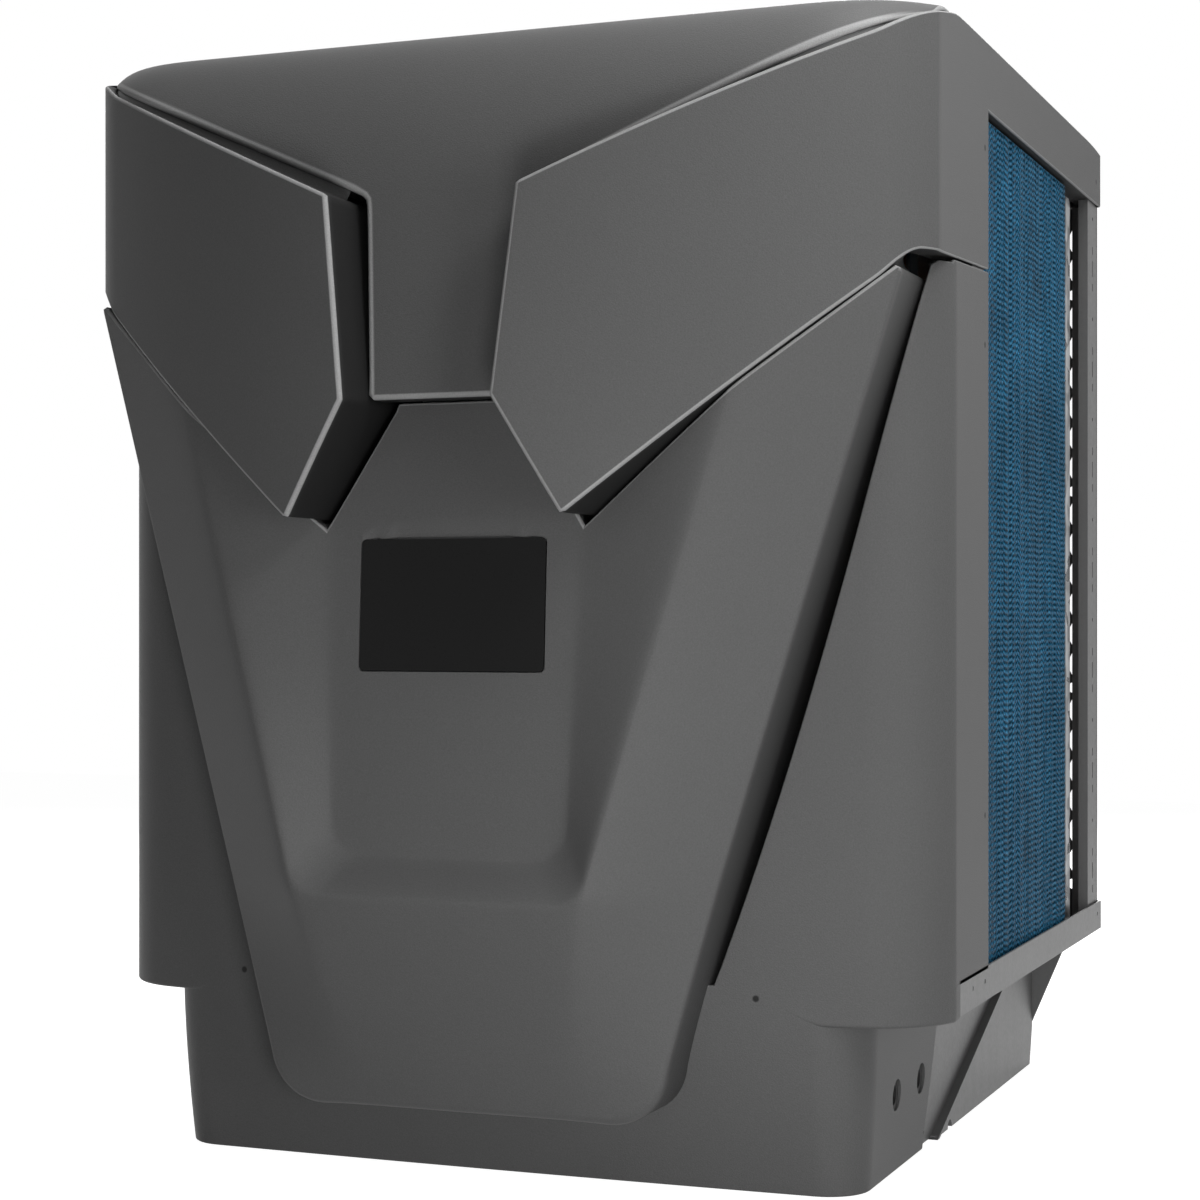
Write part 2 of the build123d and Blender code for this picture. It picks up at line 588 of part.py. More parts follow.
def blade():
    """One blade: thin sections that broaden and flatten from the hub to the tip."""
    # radius, chord, pitch angle and sweep angle of each section
    stations = [(HUB_RADIUS - 8, 74, 40, 0), (150, 128, 30, 10)]
    stations += [(220, 176, 24, 22), (FAN_RADIUS - 6, 206, 19, 34)]
    sections = []
    for radius, chord, pitch, sweep_angle in stations:
        centre = Rot(0, sweep_angle, 0) * Pos(radius, 414, 0)
        half = chord / 2
        outline = [(-half, 0), (-half * 0.5, 3.2), (half * 0.4, 3.0), (half, 0)]
        outline += [(half * 0.4, -0.6), (-half * 0.5, -0.6)]
        face = make_face(Polyline(*outline, close=True))
        chord_dir = (0, sin(radians(pitch)), cos(radians(pitch)))
        local = Plane(origin=(0, 0, 0), x_dir=chord_dir, z_dir=(1, 0, 0))
        sections.append(centre * (local * face))
    made = loft(sections)
    limit = Pos(0, 414, 0) * (Rot(90, 0, 0) * Cylinder(FAN_RADIUS, 80))
    return made & limit


def fan_shaft():
    return rod(SHAFT_RADIUS, (0, 262, FAN_Z), (0, 447, FAN_Z))


def fan_nut():
    nut = Plane(origin=(0, 436.1, FAN_Z), z_dir=(0, 1, 0)) * extrude(RegularPolygon(13, 6), 8)
    nut -= rod(SHAFT_RADIUS, (0, 430, FAN_Z), (0, 460, FAN_Z))
    return nut


def fan_motor():
    motor = rod(62, (0, 250, FAN_Z), (0, 362, FAN_Z)) + rod(24, (0, 362, FAN_Z), (0, 374, FAN_Z))
    for k in range(12):
        angle = radians(30 * k)
        cut_x, cut_z = 66 * cos(angle), 66 * sin(angle)
        motor -= rod(7, (cut_x, 262, FAN_Z + cut_z), (cut_x, 350, FAN_Z + cut_z))
    motor -= rod(SHAFT_RADIUS + SHAFT_CLEAR, (0, 255, FAN_Z), (0, 380, FAN_Z))
    motor -= rod(16, (0, 256, FAN_Z), (0, 268, FAN_Z))
    return motor


def motor_bracket():
    """Two upright rails on the shroud plate that hold the motor by its flanges."""
    rails = Part()
    for s in (1, -1):
        rails += box(s * 78 - 12, s * 78 + 12, 352, 354.5, PAN_TOP, WINDOW_TOP + 14)
        rails += box(s * 78 - 12, s * 78 - 9.5, 354.5, 374, PAN_TOP, WINDOW_TOP + 14)
        rails += box(s * 78 - 12, s * 78 - 9.5, 374, SHROUD_Y, PAN_TOP, 258)
        rails += box(s * 78 - 12, s * 78 - 9.5, 374, SHROUD_Y, 862, WINDOW_TOP + 14)
    for z in (FAN_Z - 40, FAN_Z + 40):
        rails += box(-66, 66, 352, 354.5, z - 10, z + 10)
    rails -= rod(62.3, (0, 240, FAN_Z), (0, 400, FAN_Z))
    return rails


def fan_shroud():
    """Fan wall between the coils with a rolled bell mouth round the blades."""
    wall = box(-330, 330, SHROUD_Y, SHROUD_Y + SHEET, PAN_BOTTOM + SHEET, WINDOW_TOP + 14)
    wall -= rod(RING_RADIUS, (0, SHROUD_Y - 5, FAN_Z), (0, SHROUD_Y + 5, FAN_Z))
    bore = RING_RADIUS - 2.5
    profile = [(RING_RADIUS, 445), (bore, 445), (bore, SHROUD_Y + 8), (RING_RADIUS + 6, SHROUD_Y)]
    profile += [(RING_RADIUS + 8, SHROUD_Y), (RING_RADIUS + 8, SHROUD_Y + 2), (RING_RADIUS, SHROUD_Y + 10)]
    face = make_face(Polyline(*profile, close=True))
    ring = revolve(face, Axis.Y)
    return wall + Pos(0, 0, FAN_Z) * ring


def rear_guard():
    """Rear panel: a round outlet in the middle and honeycomb vents down both edges."""
    half = HALF_WIDTH - 3.5
    panel = box(-half, half, GUARD_Y, GUARD_Y + SHEET, PAN_TOP - 20, WINDOW_TOP - 0.5)
    panel -= rod(RING_RADIUS + 2, (0, GUARD_Y - 5, FAN_Z), (0, GUARD_Y + 9, FAN_Z))
    radius = HEX_ACROSS / sqrt(3)
    holes = []
    for s in (1, -1):
        for column in range(2):
            x = s * (HEX_COLUMN_X - column * HEX_STEP_X)
            for z, kind in vent_levels(column):
                shape = RegularPolygon(radius, 6) if kind == "hex" else SlotOverall(26, 11)
                place = Plane(origin=(x, GUARD_Y - 2, z), x_dir=(1, 0, 0), z_dir=(0, 1, 0))
                holes.append(place * extrude(shape, 8))
    return panel - holes


def vent_levels(column):
    """Hexagon and slot levels of one column: six hexagons and a slot repeat, the next column is staggered."""
    repeat = 6 * HEX_STEP_Z + 18
    levels = []
    for group in range(4):
        slot_z = 844.0 - group * repeat
        if column == 0:
            levels.append((slot_z, "slot"))
        first = slot_z - HEX_STEP_Z + 8 - column * HEX_STEP_Z / 2
        count = 6 - column if group < 3 else 0
        levels += [(first - k * HEX_STEP_Z, "hex") for k in range(count)]
    levels += [(903.5 - column * HEX_STEP_Z / 2, "hex"), (871.5 - column * HEX_STEP_Z / 2, "hex")]
    return levels


def outlet_guard():
    """Ring guard over the fan outlet: flat rings on four spokes."""
    y0, y1 = GUARD_Y + SHEET + 0.2, GUARD_Y + SHEET + 3.2
    guard = tube(RING_RADIUS + 8, RING_RADIUS - 2, (0, y0, FAN_Z), (0, y1, FAN_Z))
    guard += rod(44, (0, y0, FAN_Z), (0, y1, FAN_Z))
    for k in range(1, 11):
        radius = 44 + k * 23.0
        guard += tube(radius + 1.5, radius - 1.5, (0, y0, FAN_Z), (0, y1, FAN_Z))
    for k in range(8):
        spoke = box(40, RING_RADIUS, y0, y1, -1.8, 1.8)
        guard += Pos(0, 0, FAN_Z) * (Rot(0, 22.5 + 45 * k, 0) * spoke)
    return guard


# ---------------------------------------------------------------- inside

def bulkhead():
    """Upright wall between the machine room in front and the fan room behind."""
    wall = box(-COIL_IN + 12, COIL_IN - 12, -92, -90, DECK, WINDOW_TOP + 14)
    wall += box(-COIL_IN + 12, COIL_IN - 12, -90, -70, DECK, DECK + SHEET)
    for x in (-250, 0, 250):
        wall += box(x - 1, x + 1, -90, -78, DECK + SHEET, WINDOW_TOP + 14)
    return wall


def machine_deck():
    """Tray in front of the pan that carries the compressor and the heat exchanger."""
    deck = box(-310, 310, -276, PAN_FRONT - 0.5, DECK + 3, DECK + 5)
    deck += box(-310, 310, PAN_FRONT - 0.5, -150, DECK, DECK + 5)
    for x, y, z in FRONT_SCREWS:
        deck += box(x - 14, x + 14, TAB_Y, TAB_Y + 3, DECK + 3, z + 14)
        deck -= rod(1.7, (x, TAB_Y - 5, z), (x, TAB_Y + 5, z))
    for x in WATER_RISERS:
        deck -= rod(18, (x, EXCHANGER[1], DECK - 1), (x, EXCHANGER[1], DECK + 8))
    return deck


def compressor():
    """Hermetic rotary shell with domed ends, three feet, a terminal box and its two stubs."""
    x, y = COMPRESSOR
    z0, z1 = DECK + 22, DECK + 292
    profile = [(0, z0), (58, z0), (66, z0 + 14), (66, z1 - 20), (52, z1), (0, z1)]
    shell = Pos(x, y) * revolve(Plane.XZ * make_face(Polyline(*profile, close=True)), Axis.Z)
    for k in range(3):
        foot = box(40, 92, -16, 16, DECK + 18, DECK + 22)
        shell += Pos(x, y) * (Rot(0, 0, 90 + 120 * k) * foot)
    for k in range(3):
        hole_x, hole_y = x + 80 * cos(radians(90 + 120 * k)), y + 80 * sin(radians(90 + 120 * k))
        shell -= rod(7, (hole_x, hole_y, DECK + 10), (hole_x, hole_y, DECK + 30))
    shell += box(x - 22, x + 22, y - 84, y - 60, z1 - 96, z1 - 46)
    shell += rod(8, (x, y, z1 - 4), (x, y, z1 + 22))
    return shell


def compressor_grommets():
    x, y = COMPRESSOR
    made = []
    for k in range(3):
        gx, gy = x + 80 * cos(radians(90 + 120 * k)), y + 80 * sin(radians(90 + 120 * k))
        cushion = rod(14, (gx, gy, DECK + 5), (gx, gy, DECK + 17.8))
        cushion += rod(6.8, (gx, gy, DECK + 17), (gx, gy, DECK + 26))
        made.append(cushion.solids()[0])
    return Compound(children=made)


def accumulator():
    x, y = ACCUMULATOR
    body = rod(34, (x, y, 230), (x, y, 400))
    body = fillet(body.edges().filter_by(GeomType.CIRCLE), 14)
    body += rod(7, (x, y, 395), (x, y, 430)) + rod(7, (x, y, 205), (x, y, 235))
    return body


def accumulator_strap():
    x, y = ACCUMULATOR
    strap = tube(36.5, 34.1, (x, y, 300), (x, y, 324))
    strap += box(x + 34.5, COMPRESSOR[0] - 66.2, y - 8, y + 8, 302, 322)
    return strap


def heat_exchanger():
    """Water heat exchanger: an upright plastic vessel with end caps; the titanium coil is sealed inside."""
    x, y = EXCHANGER
    vessel = rod(84, (x, y, DECK + 34), (x, y, 640))
    vessel += rod(92, (x, y, DECK + 34), (x, y, DECK + 64)) + rod(92, (x, y, 606), (x, y, 640))
    vessel = chamfer(vessel.edges().group_by(Axis.Z)[-1], 8)
    vessel += rod(22, (x - 40, y, 630), (x - 40, y, 664))
    for z in (228, 500):
        vessel += rod(7, (x - 106, y, z), (x - 60, y, z))
    for dx in (-66, 66):
        vessel += box(x + dx - 6, x + dx + 6, y - 60, y + 60, DECK + 5, DECK + 40)
    return vessel


def pipe(radius, points, bend):
    """Pipe along straight runs joined by equal bends."""
    path = FilletPolyline(*points, radius=bend)
    start = Plane(origin=path @ 0, z_dir=path % 0)
    return sweep(start * Circle(radius), path=path)


def reversing_valve():
    """Four-way valve: a slide body with one stub above, three below and a pilot valve in front."""
    x, y, z = VALVE_X, VALVE_Y, VALVE_Z
    valve = rod(16, (x - 50, y, z), (x + 50, y, z)) + rod(9, (x, y, z), (x, y, z + 34))
    for dx in (-25, 0, 25):
        valve += rod(7, (x + dx, y, z - 34), (x + dx, y, z))
    valve += rod(13, (x - 20, y - 36, z), (x + 20, y - 36, z))
    return valve + box(x - 6, x + 6, y - 36, y, z - 4, z + 4)


def expansion_valve():
    """Electronic expansion valve: a brass body under its round stepper coil."""
    y, z = VALVE_Y, 400.0
    valve = rod(11, (0, y, z), (0, y, z + 44)) + rod(18, (0, y, z + 44), (0, y, z + 74))
    return valve + rod(5.5, (0, y, z - 24), (0, y, z)) + rod(5.5, (0, y, z + 14), (0, y + 24, z + 14))


def filter_drier():
    y = VALVE_Y
    body = rod(17, (0, y, 270), (0, y, 350))
    body = fillet(body.edges().filter_by(GeomType.CIRCLE), 8)
    return body + rod(5.5, (0, y, 348), (0, y, 376)) + rod(5.5, (0, y, 246), (0, y, 272))


def discharge_pipe():
    """From the compressor's top to the valve's upper stub."""
    x, y = COMPRESSOR
    top = VALVE_Z + 80
    points = [(x, y, DECK + 314), (x, y, top), (VALVE_X, y, top)]
    points += [(VALVE_X, VALVE_Y, top), (VALVE_X, VALVE_Y, VALVE_Z + 34)]
    return pipe(8, points, 12)


def suction_pipe():
    """From the valve's middle stub to the accumulator, passing in front of the compressor."""
    x, y = ACCUMULATOR
    front = y - 50
    points = [(x, y, 430), (x, y, 470), (x, front, 470), (VALVE_X, front, 470), (VALVE_X, VALVE_Y, 470),
              (VALVE_X, VALVE_Y, VALVE_Z - 34)]
    return pipe(7, points, 12)


def exchanger_gas_pipe():
    """From the valve's right stub to the upper port of the heat exchanger."""
    x, y = VALVE_X + 25, EXCHANGER[1]
    start, port = (x, VALVE_Y, VALVE_Z - 34), (EXCHANGER[0] - 106, y, 500)
    return pipe(7, [start, (x, VALVE_Y, 500), (x, y, 500), port], 12)


def exchanger_liquid_pipe():
    """From the drier to the lower port of the heat exchanger."""
    y = EXCHANGER[1]
    return pipe(5.5, [(0, VALVE_Y, 246), (0, VALVE_Y, 228), (0, y, 228), (EXCHANGER[0] - 106, y, 228)], 7)


def coil_gas_pipes():
    """From the valve's left stub to the left gas header, and across to the right one."""
    x = VALVE_X - 25
    start, port = (x, VALVE_Y, VALVE_Z - 34), (-HEADER_X + 9.5, HEADER_Y, 500)
    left = pipe(7, [start, (x, VALVE_Y, 500), (x, HEADER_Y, 500), port], 8)
    across = rod(7, (-HEADER_X + 9.5, HEADER_Y, 660), (HEADER_X - 9.5, HEADER_Y, 660))
    return Compound(children=[left.solids()[0], across.solids()[0]])


def coil_liquid_pipes():
    """From the expansion valve along the bulkhead to the liquid lines of both coils."""
    y, z, x = LIQUID_Y, 414.0, LIQUID_X - 5
    return rod(4.5, (-x, y, z), (x, y, z)) + rod(4.5, (0, VALVE_Y + 24, z), (0, y, z))


def rear_union(side):
    """Bulkhead fitting in the rear wall: a flanged, threaded body that takes the union nut."""
    x = side * UNION_X
    body = rod(32.5, (x, WALL_Y - 34, UNION_Z), (x, WALL_Y + 24, UNION_Z))
    body += rod(40, (x, WALL_Y + 0.1, UNION_Z), (x, WALL_Y + 8, UNION_Z))
    body -= rod(22, (x, WALL_Y - 50, UNION_Z), (x, WALL_Y + 40, UNION_Z))
    return body


def union_locknut(side):
    x = side * UNION_X
    ring = Plane(origin=(x, WALL_Y - 3.1, UNION_Z), z_dir=(0, -1, 0)) * extrude(RegularPolygon(46, 8), 12)
    return ring - rod(32.5, (x, WALL_Y - 40, UNION_Z), (x, WALL_Y + 10, UNION_Z))


def union_tail(side):
    """Socket end of the union, with a bore for 50 mm pipe and a flange that the nut pulls up."""
    x = side * UNION_X
    y0 = WALL_Y + 26.2
    tail = rod(33, (x, y0, UNION_Z), (x, y0 + 7, UNION_Z))
    tail += rod(29.5, (x, y0, UNION_Z), (x, y0 + 48, UNION_Z))
    tail -= rod(22, (x, y0 - 5, UNION_Z), (x, y0 + 60, UNION_Z))
    tail -= rod(SOCKET_RADIUS, (x, y0 + 14, UNION_Z), (x, y0 + 60, UNION_Z))
    return tail


def union_seal(side):
    x = side * UNION_X
    return tube(30, 24, (x, WALL_Y + 24, UNION_Z), (x, WALL_Y + 26.2, UNION_Z))


def union_nut(side):
    """Ribbed union nut, free to turn on the threaded body and round the socket end."""
    x = side * UNION_X
    y0, y1 = WALL_Y + 9, WALL_Y + 43
    nut = rod(43, (x, y0, UNION_Z), (x, y1, UNION_Z))
    nut = chamfer(nut.edges().filter_by(GeomType.CIRCLE), 2)
    for k in range(16):
        nut -= rod(3, (x + 44.5 * cos(radians(22.5 * k)), y0 - 1, UNION_Z + 44.5 * sin(radians(22.5 * k))),
                   (x + 44.5 * cos(radians(22.5 * k)), y1 + 1, UNION_Z + 44.5 * sin(radians(22.5 * k))))
    nut -= rod(33 + RUNNING_GAP, (x, y0 - 2, UNION_Z), (x, y1 - 9, UNION_Z))
    nut -= rod(29.5 + RUNNING_GAP, (x, y0 - 2, UNION_Z), (x, y1 + 5, UNION_Z))
    return nut


def water_pipes():
    """From the rear fittings forward under the pan and up into the foot of the heat exchanger."""
    y0, y1, z, top = WALL_Y - 34, EXCHANGER[1], UNION_Z, DECK + 34
    x_in, x_out = WATER_RISERS
    outlet = [(UNION_X, y0, z), (UNION_X, 320, z), (x_out, 240, z), (x_out, y1, z), (x_out, y1, top)]
    inlet = [(-UNION_X, y0, z), (-UNION_X, -40, z), (x_in, -40, z), (x_in, y1, z), (x_in, y1, top)]
    return Compound(children=[pipe(16, path, 24).solids()[0] for path in (outlet, inlet)])


def electrical_box():
    """Control enclosure on the bulkhead above the machinery, open towards the front."""
    case = box(-284, 284, -190, -92.2, 690, 850)
    return case - box(-282, 282, -191, -94.2, 692, 848)


def electrical_lid():
    return box(-285, 285, -192.2, -190.2, 689, 851)


def control_board():
    board = box(-250, 60, -104, -102.4, 706, 834)
    # centre, underside, width, height and depth of each tall component
    components = [(-200, 730, 60, 50, 26), (-110, 740, 40, 60, 40), (-40, 720, 34, 30, 18), (10, 790, 30, 20, 14)]
    for x, z, width, height, depth in components:
        board += box(x - width / 2, x + width / 2, -104 - depth, -104, z, z + height)
    return board


def standoffs():
    made = []
    for x in (-240, 50):
        for z in (714, 826):
            made.append(rod(4, (x, -102.4, z), (x, -94.2, z)))
    return Compound(children=made)


def terminal_block():
    block = box(110, 250, -124, -94.4, 730, 770)
    for k in range(5):
        block -= rod(4, (126 + k * 27, -130, 750), (126 + k * 27, -110, 750))
    return block


def flow_switch():
    x, y = EXCHANGER
    return rod(14, (x - 40, y, 664.2), (x - 40, y, 676)) + box(x - 58, x - 22, y - 16, y + 16, 676, 687)


def drain_spout():
    spout = rod(9.5, (0, 180, 126), (0, 180, DECK + 2))
    spout += rod(16, (0, 180, PAN_BOTTOM - 3), (0, 180, PAN_BOTTOM - 0.1))
    return spout - rod(6.5, (0, 180, 120), (0, 180, 160))


def cable_grommets():
    made = []
    for y in CABLE_HOLES:
        inner, middle, outer = [(SKIRT_HALF + x, y, CABLE_Z) for x in (-7.5, -4, 2)]
        ring = tube(CABLE_RADIUS - 0.2, 9, middle, outer) + tube(CABLE_RADIUS + 3, 9, inner, middle)
        made.append(ring.solids()[0])
    return Compound(children=made)


def cover_screws():
    """Screws through the front frame and along both sides."""
    made = []
    for x, y, z in FRONT_SCREWS:
        made.append(rod(2.7, (x, y + 0.9, z), (x, y + 2.3, z)) + rod(1.6, (x, y + 2, z), (x, TAB_Y + 8, z)))
    for s in (1, -1):
        for y, z in SIDE_SCREWS:
            made.append(rod(2.1, (s * (HALF_WIDTH - 0.5), y, z), (s * (HALF_WIDTH - 8), y, z)))
    return Compound(children=[screw.solids()[0] for screw in made])


NODES = {
    "front_shield": front_shield,
    "front_frame": front_frame,
    "hood_cover": hood_cover,
    "lid": lid,
    "display_glass": display_glass,
    "display_module": display_module,
    "base_pan": base_pan,
    "base_side_right": base_side,
    "base_side_left": lambda: left_of(base_side()),
    "front_foot_rail": front_foot_rail,
    "rear_wall": rear_wall,
    "rear_post_right": rear_post,
    "rear_post_left": lambda: left_of(rear_post()),
    "front_posts": lambda: both(front_post()),
    "top_frame": top_frame,
    "coil_fins_right": coil_fins,
    "coil_fins_left": lambda: left_of(coil_fins()),
    "coil_end_plates": coil_end_plates,
    "coil_bends": coil_bends,
    "coil_headers": lambda: both(header()),
    "fan_rotor": fan_rotor,
    "fan_shaft": fan_shaft,
    "fan_nut": fan_nut,
    "fan_motor": fan_motor,
    "motor_bracket": motor_bracket,
    "fan_shroud": fan_shroud,
    "rear_guard": rear_guard,
    "outlet_guard": outlet_guard,
    "bulkhead": bulkhead,
    "machine_deck": machine_deck,
    "compressor": compressor,
    "compressor_grommets": compressor_grommets,
    "accumulator": accumulator,
    "accumulator_strap": accumulator_strap,
    "heat_exchanger": heat_exchanger,
    "reversing_valve": reversing_valve,
    "expansion_valve": expansion_valve,
    "filter_drier": filter_drier,
    "discharge_pipe": discharge_pipe,
    "suction_pipe": suction_pipe,
    "exchanger_gas_pipe": exchanger_gas_pipe,
    "exchanger_liquid_pipe": exchanger_liquid_pipe,
    "coil_gas_pipes": coil_gas_pipes,
    "coil_liquid_pipes": coil_liquid_pipes,
    "water_pipes": water_pipes,
    "water_fittings": lambda: rear_union(1) + rear_union(-1),
    "fitting_locknuts": lambda: union_locknut(1) + union_locknut(-1),
    "union_tails": lambda: union_tail(1) + union_tail(-1),
    "union_seals": lambda: union_seal(1) + union_seal(-1),
    "union_nut_in": lambda: union_nut(-1),
    "union_nut_out": lambda: union_nut(1),
    "flow_switch": flow_switch,
    "electrical_box": electrical_box,
    "electrical_lid": electrical_lid,
    "control_board": control_board,
    "board_standoffs": standoffs,
    "terminal_block": terminal_block,
    "drain_spout": drain_spout,
    "cable_grommets": cable_grommets,
    "cover_screws": cover_screws,
}


for name, make in NODES.items():
    write(name, make())
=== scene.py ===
import json
import math
import bmesh
import bpy
import numpy as np
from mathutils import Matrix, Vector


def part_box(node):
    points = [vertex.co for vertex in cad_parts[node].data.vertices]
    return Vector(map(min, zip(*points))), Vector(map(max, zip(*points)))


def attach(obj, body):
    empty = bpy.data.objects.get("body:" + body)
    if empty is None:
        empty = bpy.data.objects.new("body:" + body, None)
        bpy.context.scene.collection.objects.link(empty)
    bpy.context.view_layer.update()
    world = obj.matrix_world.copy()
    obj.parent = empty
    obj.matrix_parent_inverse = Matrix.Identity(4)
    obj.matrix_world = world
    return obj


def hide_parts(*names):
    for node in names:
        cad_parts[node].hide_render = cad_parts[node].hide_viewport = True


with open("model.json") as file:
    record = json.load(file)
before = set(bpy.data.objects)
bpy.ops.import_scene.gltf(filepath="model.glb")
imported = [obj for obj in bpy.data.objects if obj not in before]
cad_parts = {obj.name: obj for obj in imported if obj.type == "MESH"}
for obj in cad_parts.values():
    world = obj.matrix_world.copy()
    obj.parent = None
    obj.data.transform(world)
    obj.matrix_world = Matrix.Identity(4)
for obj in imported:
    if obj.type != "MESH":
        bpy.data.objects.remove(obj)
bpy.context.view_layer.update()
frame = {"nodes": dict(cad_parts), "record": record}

# The work is in millimetres, with Y measured from the middle of the cabinet.
# The frame counts the water unions at the rear too, so its own middle lies a little further back.
millimetre = 0.001
cabinet = {"halfWidth": 397.5, "rear": 457.5}
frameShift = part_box("hood_cover")[1][1] / millimetre - cabinet["rear"]
print("frame loaded: cabinet stands", round(frameShift, 2), "mm from the middle of the whole unit")


# ---- small helpers for surfaces worked out as whole arrays

def easedSteps(count, low=0.0, high=1.0):
    # count values from low to high, close together at both ends: a half cosine
    return low + (high - low) * (0.5 - 0.5 * np.cos(np.linspace(0, math.pi, count)))


def chained(*runs):
    # joins runs of values end to end and drops the repeated ends
    return np.concatenate([runs[0]] + [run[1:] for run in runs[1:]])


def softMax(a, b, width):
    # the larger of two values, rounded off over about this width where they cross
    return (a + b + np.sqrt((a - b) ** 2 + width ** 2)) / 2


def softMin(a, b, width):
    return (a + b - np.sqrt((a - b) ** 2 + width ** 2)) / 2


def smoothRamp(value, low, high):
    # 0 below low, 1 above high, and an S curve between
    t = np.clip((value - low) / (high - low), 0, 1)
    return t * t * (3 - 2 * t)


def unit(vectors):
    return vectors / np.maximum(np.linalg.norm(vectors, axis=-1, keepdims=True), 1e-9)


def stacked(x, y, z):
    # one array of points from three arrays that broadcast together
    return np.stack(np.broadcast_arrays(x, y, z), -1).astype(float)


def rolledRim(edge, inner, inward, radius, length, steps=5, closed=False):
    # a rounded edge and the wall behind it: from each edge point the direction turns from
    # "outwards along the surface" to "inwards" while the point moves along, so it draws an arc of
    # this radius, and then goes on straight for the wall's length
    if closed:
        tangent = np.roll(edge, -1, 0) - np.roll(edge, 1, 0)
    else:
        tangent = np.gradient(edge, axis=0)
    tangent = unit(tangent)
    out = edge - inner
    out = unit(out - (out * tangent).sum(-1, keepdims=True) * tangent)
    back = unit(np.broadcast_to(inward, edge.shape).astype(float))
    angle = np.arccos(np.clip((out * back).sum(-1), -0.999, 0.999))[:, None]
    radius = np.broadcast_to(radius, len(edge))[:, None]
    length = np.broadcast_to(length, len(edge))[:, None]
    rows = [edge]
    for k in range(steps):
        s = (k + 0.5) / steps
        way = (np.sin((1 - s) * angle) * out + np.sin(s * angle) * back) / np.sin(angle)
        rows.append(rows[-1] + way * radius * angle / steps)
    for wall in (np.minimum(length * 0.3, 1.2), np.minimum(length * 0.6, 8.0), length):
        rows.append(rows[steps] + back * wall)
    return np.stack(rows)


def loopAround(grid):
    # outline of a grid, anticlockwise as seen from outside, with the points just inside it
    edge = np.concatenate([grid[0, :-1], grid[:-1, -1], grid[-1, :0:-1], grid[:0:-1, 0]])
    inner = np.concatenate([grid[1, :-1], grid[:-1, -2], grid[-2, :0:-1], grid[:0:-1, 1]])
    return edge, inner


def sheet(points, flip=False, keep=None, edge=0.0):
    # edge is painted light for the material: above zero a painted highlight that lightens the colour on and
    # along rounded edges, below zero painted shade that darkens it
    return {"points": points, "flip": flip, "keep": keep, "edge": edge}


def rimSheet(points, flip=False, bright=1.0, first=0.0):
    # a rolled rim: painted highlight over its rounded rows, and painted shade below zero on the three rows
    # of wall behind them. Its first row carries the mark of the surface that it is welded to.
    edge = np.full(points.shape[:2], bright)
    edge[0] = first
    # painted shade on the three rows of wall behind the rim
    edge[-3:] = np.array([[-0.35], [-0.42], [-0.45]])
    return sheet(points, flip, edge=edge)


def bothSides(*sheets):
    # the sheets and their copies mirrored across the middle plane
    return [part for one in sheets
            for part in (one, {**one, "points": one["points"] * [-1, 1, 1], "flip": not one["flip"]})]


def insetOutline(corners, distance):
    # a closed anticlockwise outline with each side moved inwards and new corners where the sides cross
    corners = np.array(corners)
    along = unit(np.roll(corners, -1, 0) - corners)
    start = corners + np.stack([-along[:, 1], along[:, 0]], -1) * distance
    before, beforeAlong = np.roll(start, 1, 0), np.roll(along, 1, 0)
    gap = start - before
    turn = beforeAlong[:, 0] * along[:, 1] - beforeAlong[:, 1] * along[:, 0]
    return before + beforeAlong * ((gap[:, 0] * along[:, 1] - gap[:, 1] * along[:, 0]) / turn)[:, None]


def makePiece(name, sheets, material, body="cabinet", creaseAngle=50, weld=0.02):
    # one mesh from several grids; points that coincide are welded, so that the shading runs on
    coords, faces, edges, start = [], [], [], 0
    for part in sheets:
        rows, columns = part["points"].shape[:2]
        index = start + np.arange(rows * columns).reshape(rows, columns)
        quads = np.stack([index[:-1, :-1], index[:-1, 1:], index[1:, 1:], index[1:, :-1]], -1)
        quads = quads[part["keep"]] if part["keep"] is not None else quads.reshape(-1, 4)
        faces.append(quads[:, ::-1] if part["flip"] else quads)
        coords.append(part["points"].reshape(-1, 3))
        edges.append(np.broadcast_to(part["edge"], (rows, columns)).ravel())
        start += rows * columns
    coords = (np.concatenate(coords) + [0, frameShift, 0]) * millimetre
    faces = np.concatenate(faces)
    mesh = bpy.data.meshes.new(name)
    mesh.vertices.add(len(coords))
    mesh.vertices.foreach_set("co", coords.ravel())
    mesh.loops.add(faces.size)
    mesh.loops.foreach_set("vertex_index", faces.ravel())
    mesh.polygons.add(len(faces))
    mesh.polygons.foreach_set("loop_start", np.arange(0, faces.size, 4))
    mesh.update(calc_edges=True)
    # per-point painted light: painted highlight on rims, painted shade on the walls behind them
    marks = mesh.attributes.new("paintedRimLightAndShade", "FLOAT", "POINT")
    marks.data.foreach_set("value", np.concatenate(edges).astype(np.float32))
    if weld:
        work = bmesh.new()
        work.from_mesh(mesh)
        bmesh.ops.remove_doubles(work, verts=work.verts, dist=weld * millimetre)
        bmesh.ops.delete(work, geom=[v for v in work.verts if not v.link_faces], context="VERTS")
        work.to_mesh(mesh)
        work.free()
    mesh.validate()
    mesh.polygons.foreach_set("use_smooth", np.ones(len(mesh.polygons), bool))
    mesh.set_sharp_from_angle(angle=math.radians(creaseAngle))
    piece = bpy.data.objects.new(name, mesh)
    bpy.context.scene.collection.objects.link(piece)
    mesh.materials.append(material)
    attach(piece, body)
    return piece


def weightedNormals(piece):
    # large faces keep their own normal, and the narrow rounded ones beside them do the turning
    modifier = piece.modifiers.new("weightedNormals", "WEIGHTED_NORMAL")
    modifier.keep_sharp = True
    modifier.weight = 80
    return piece


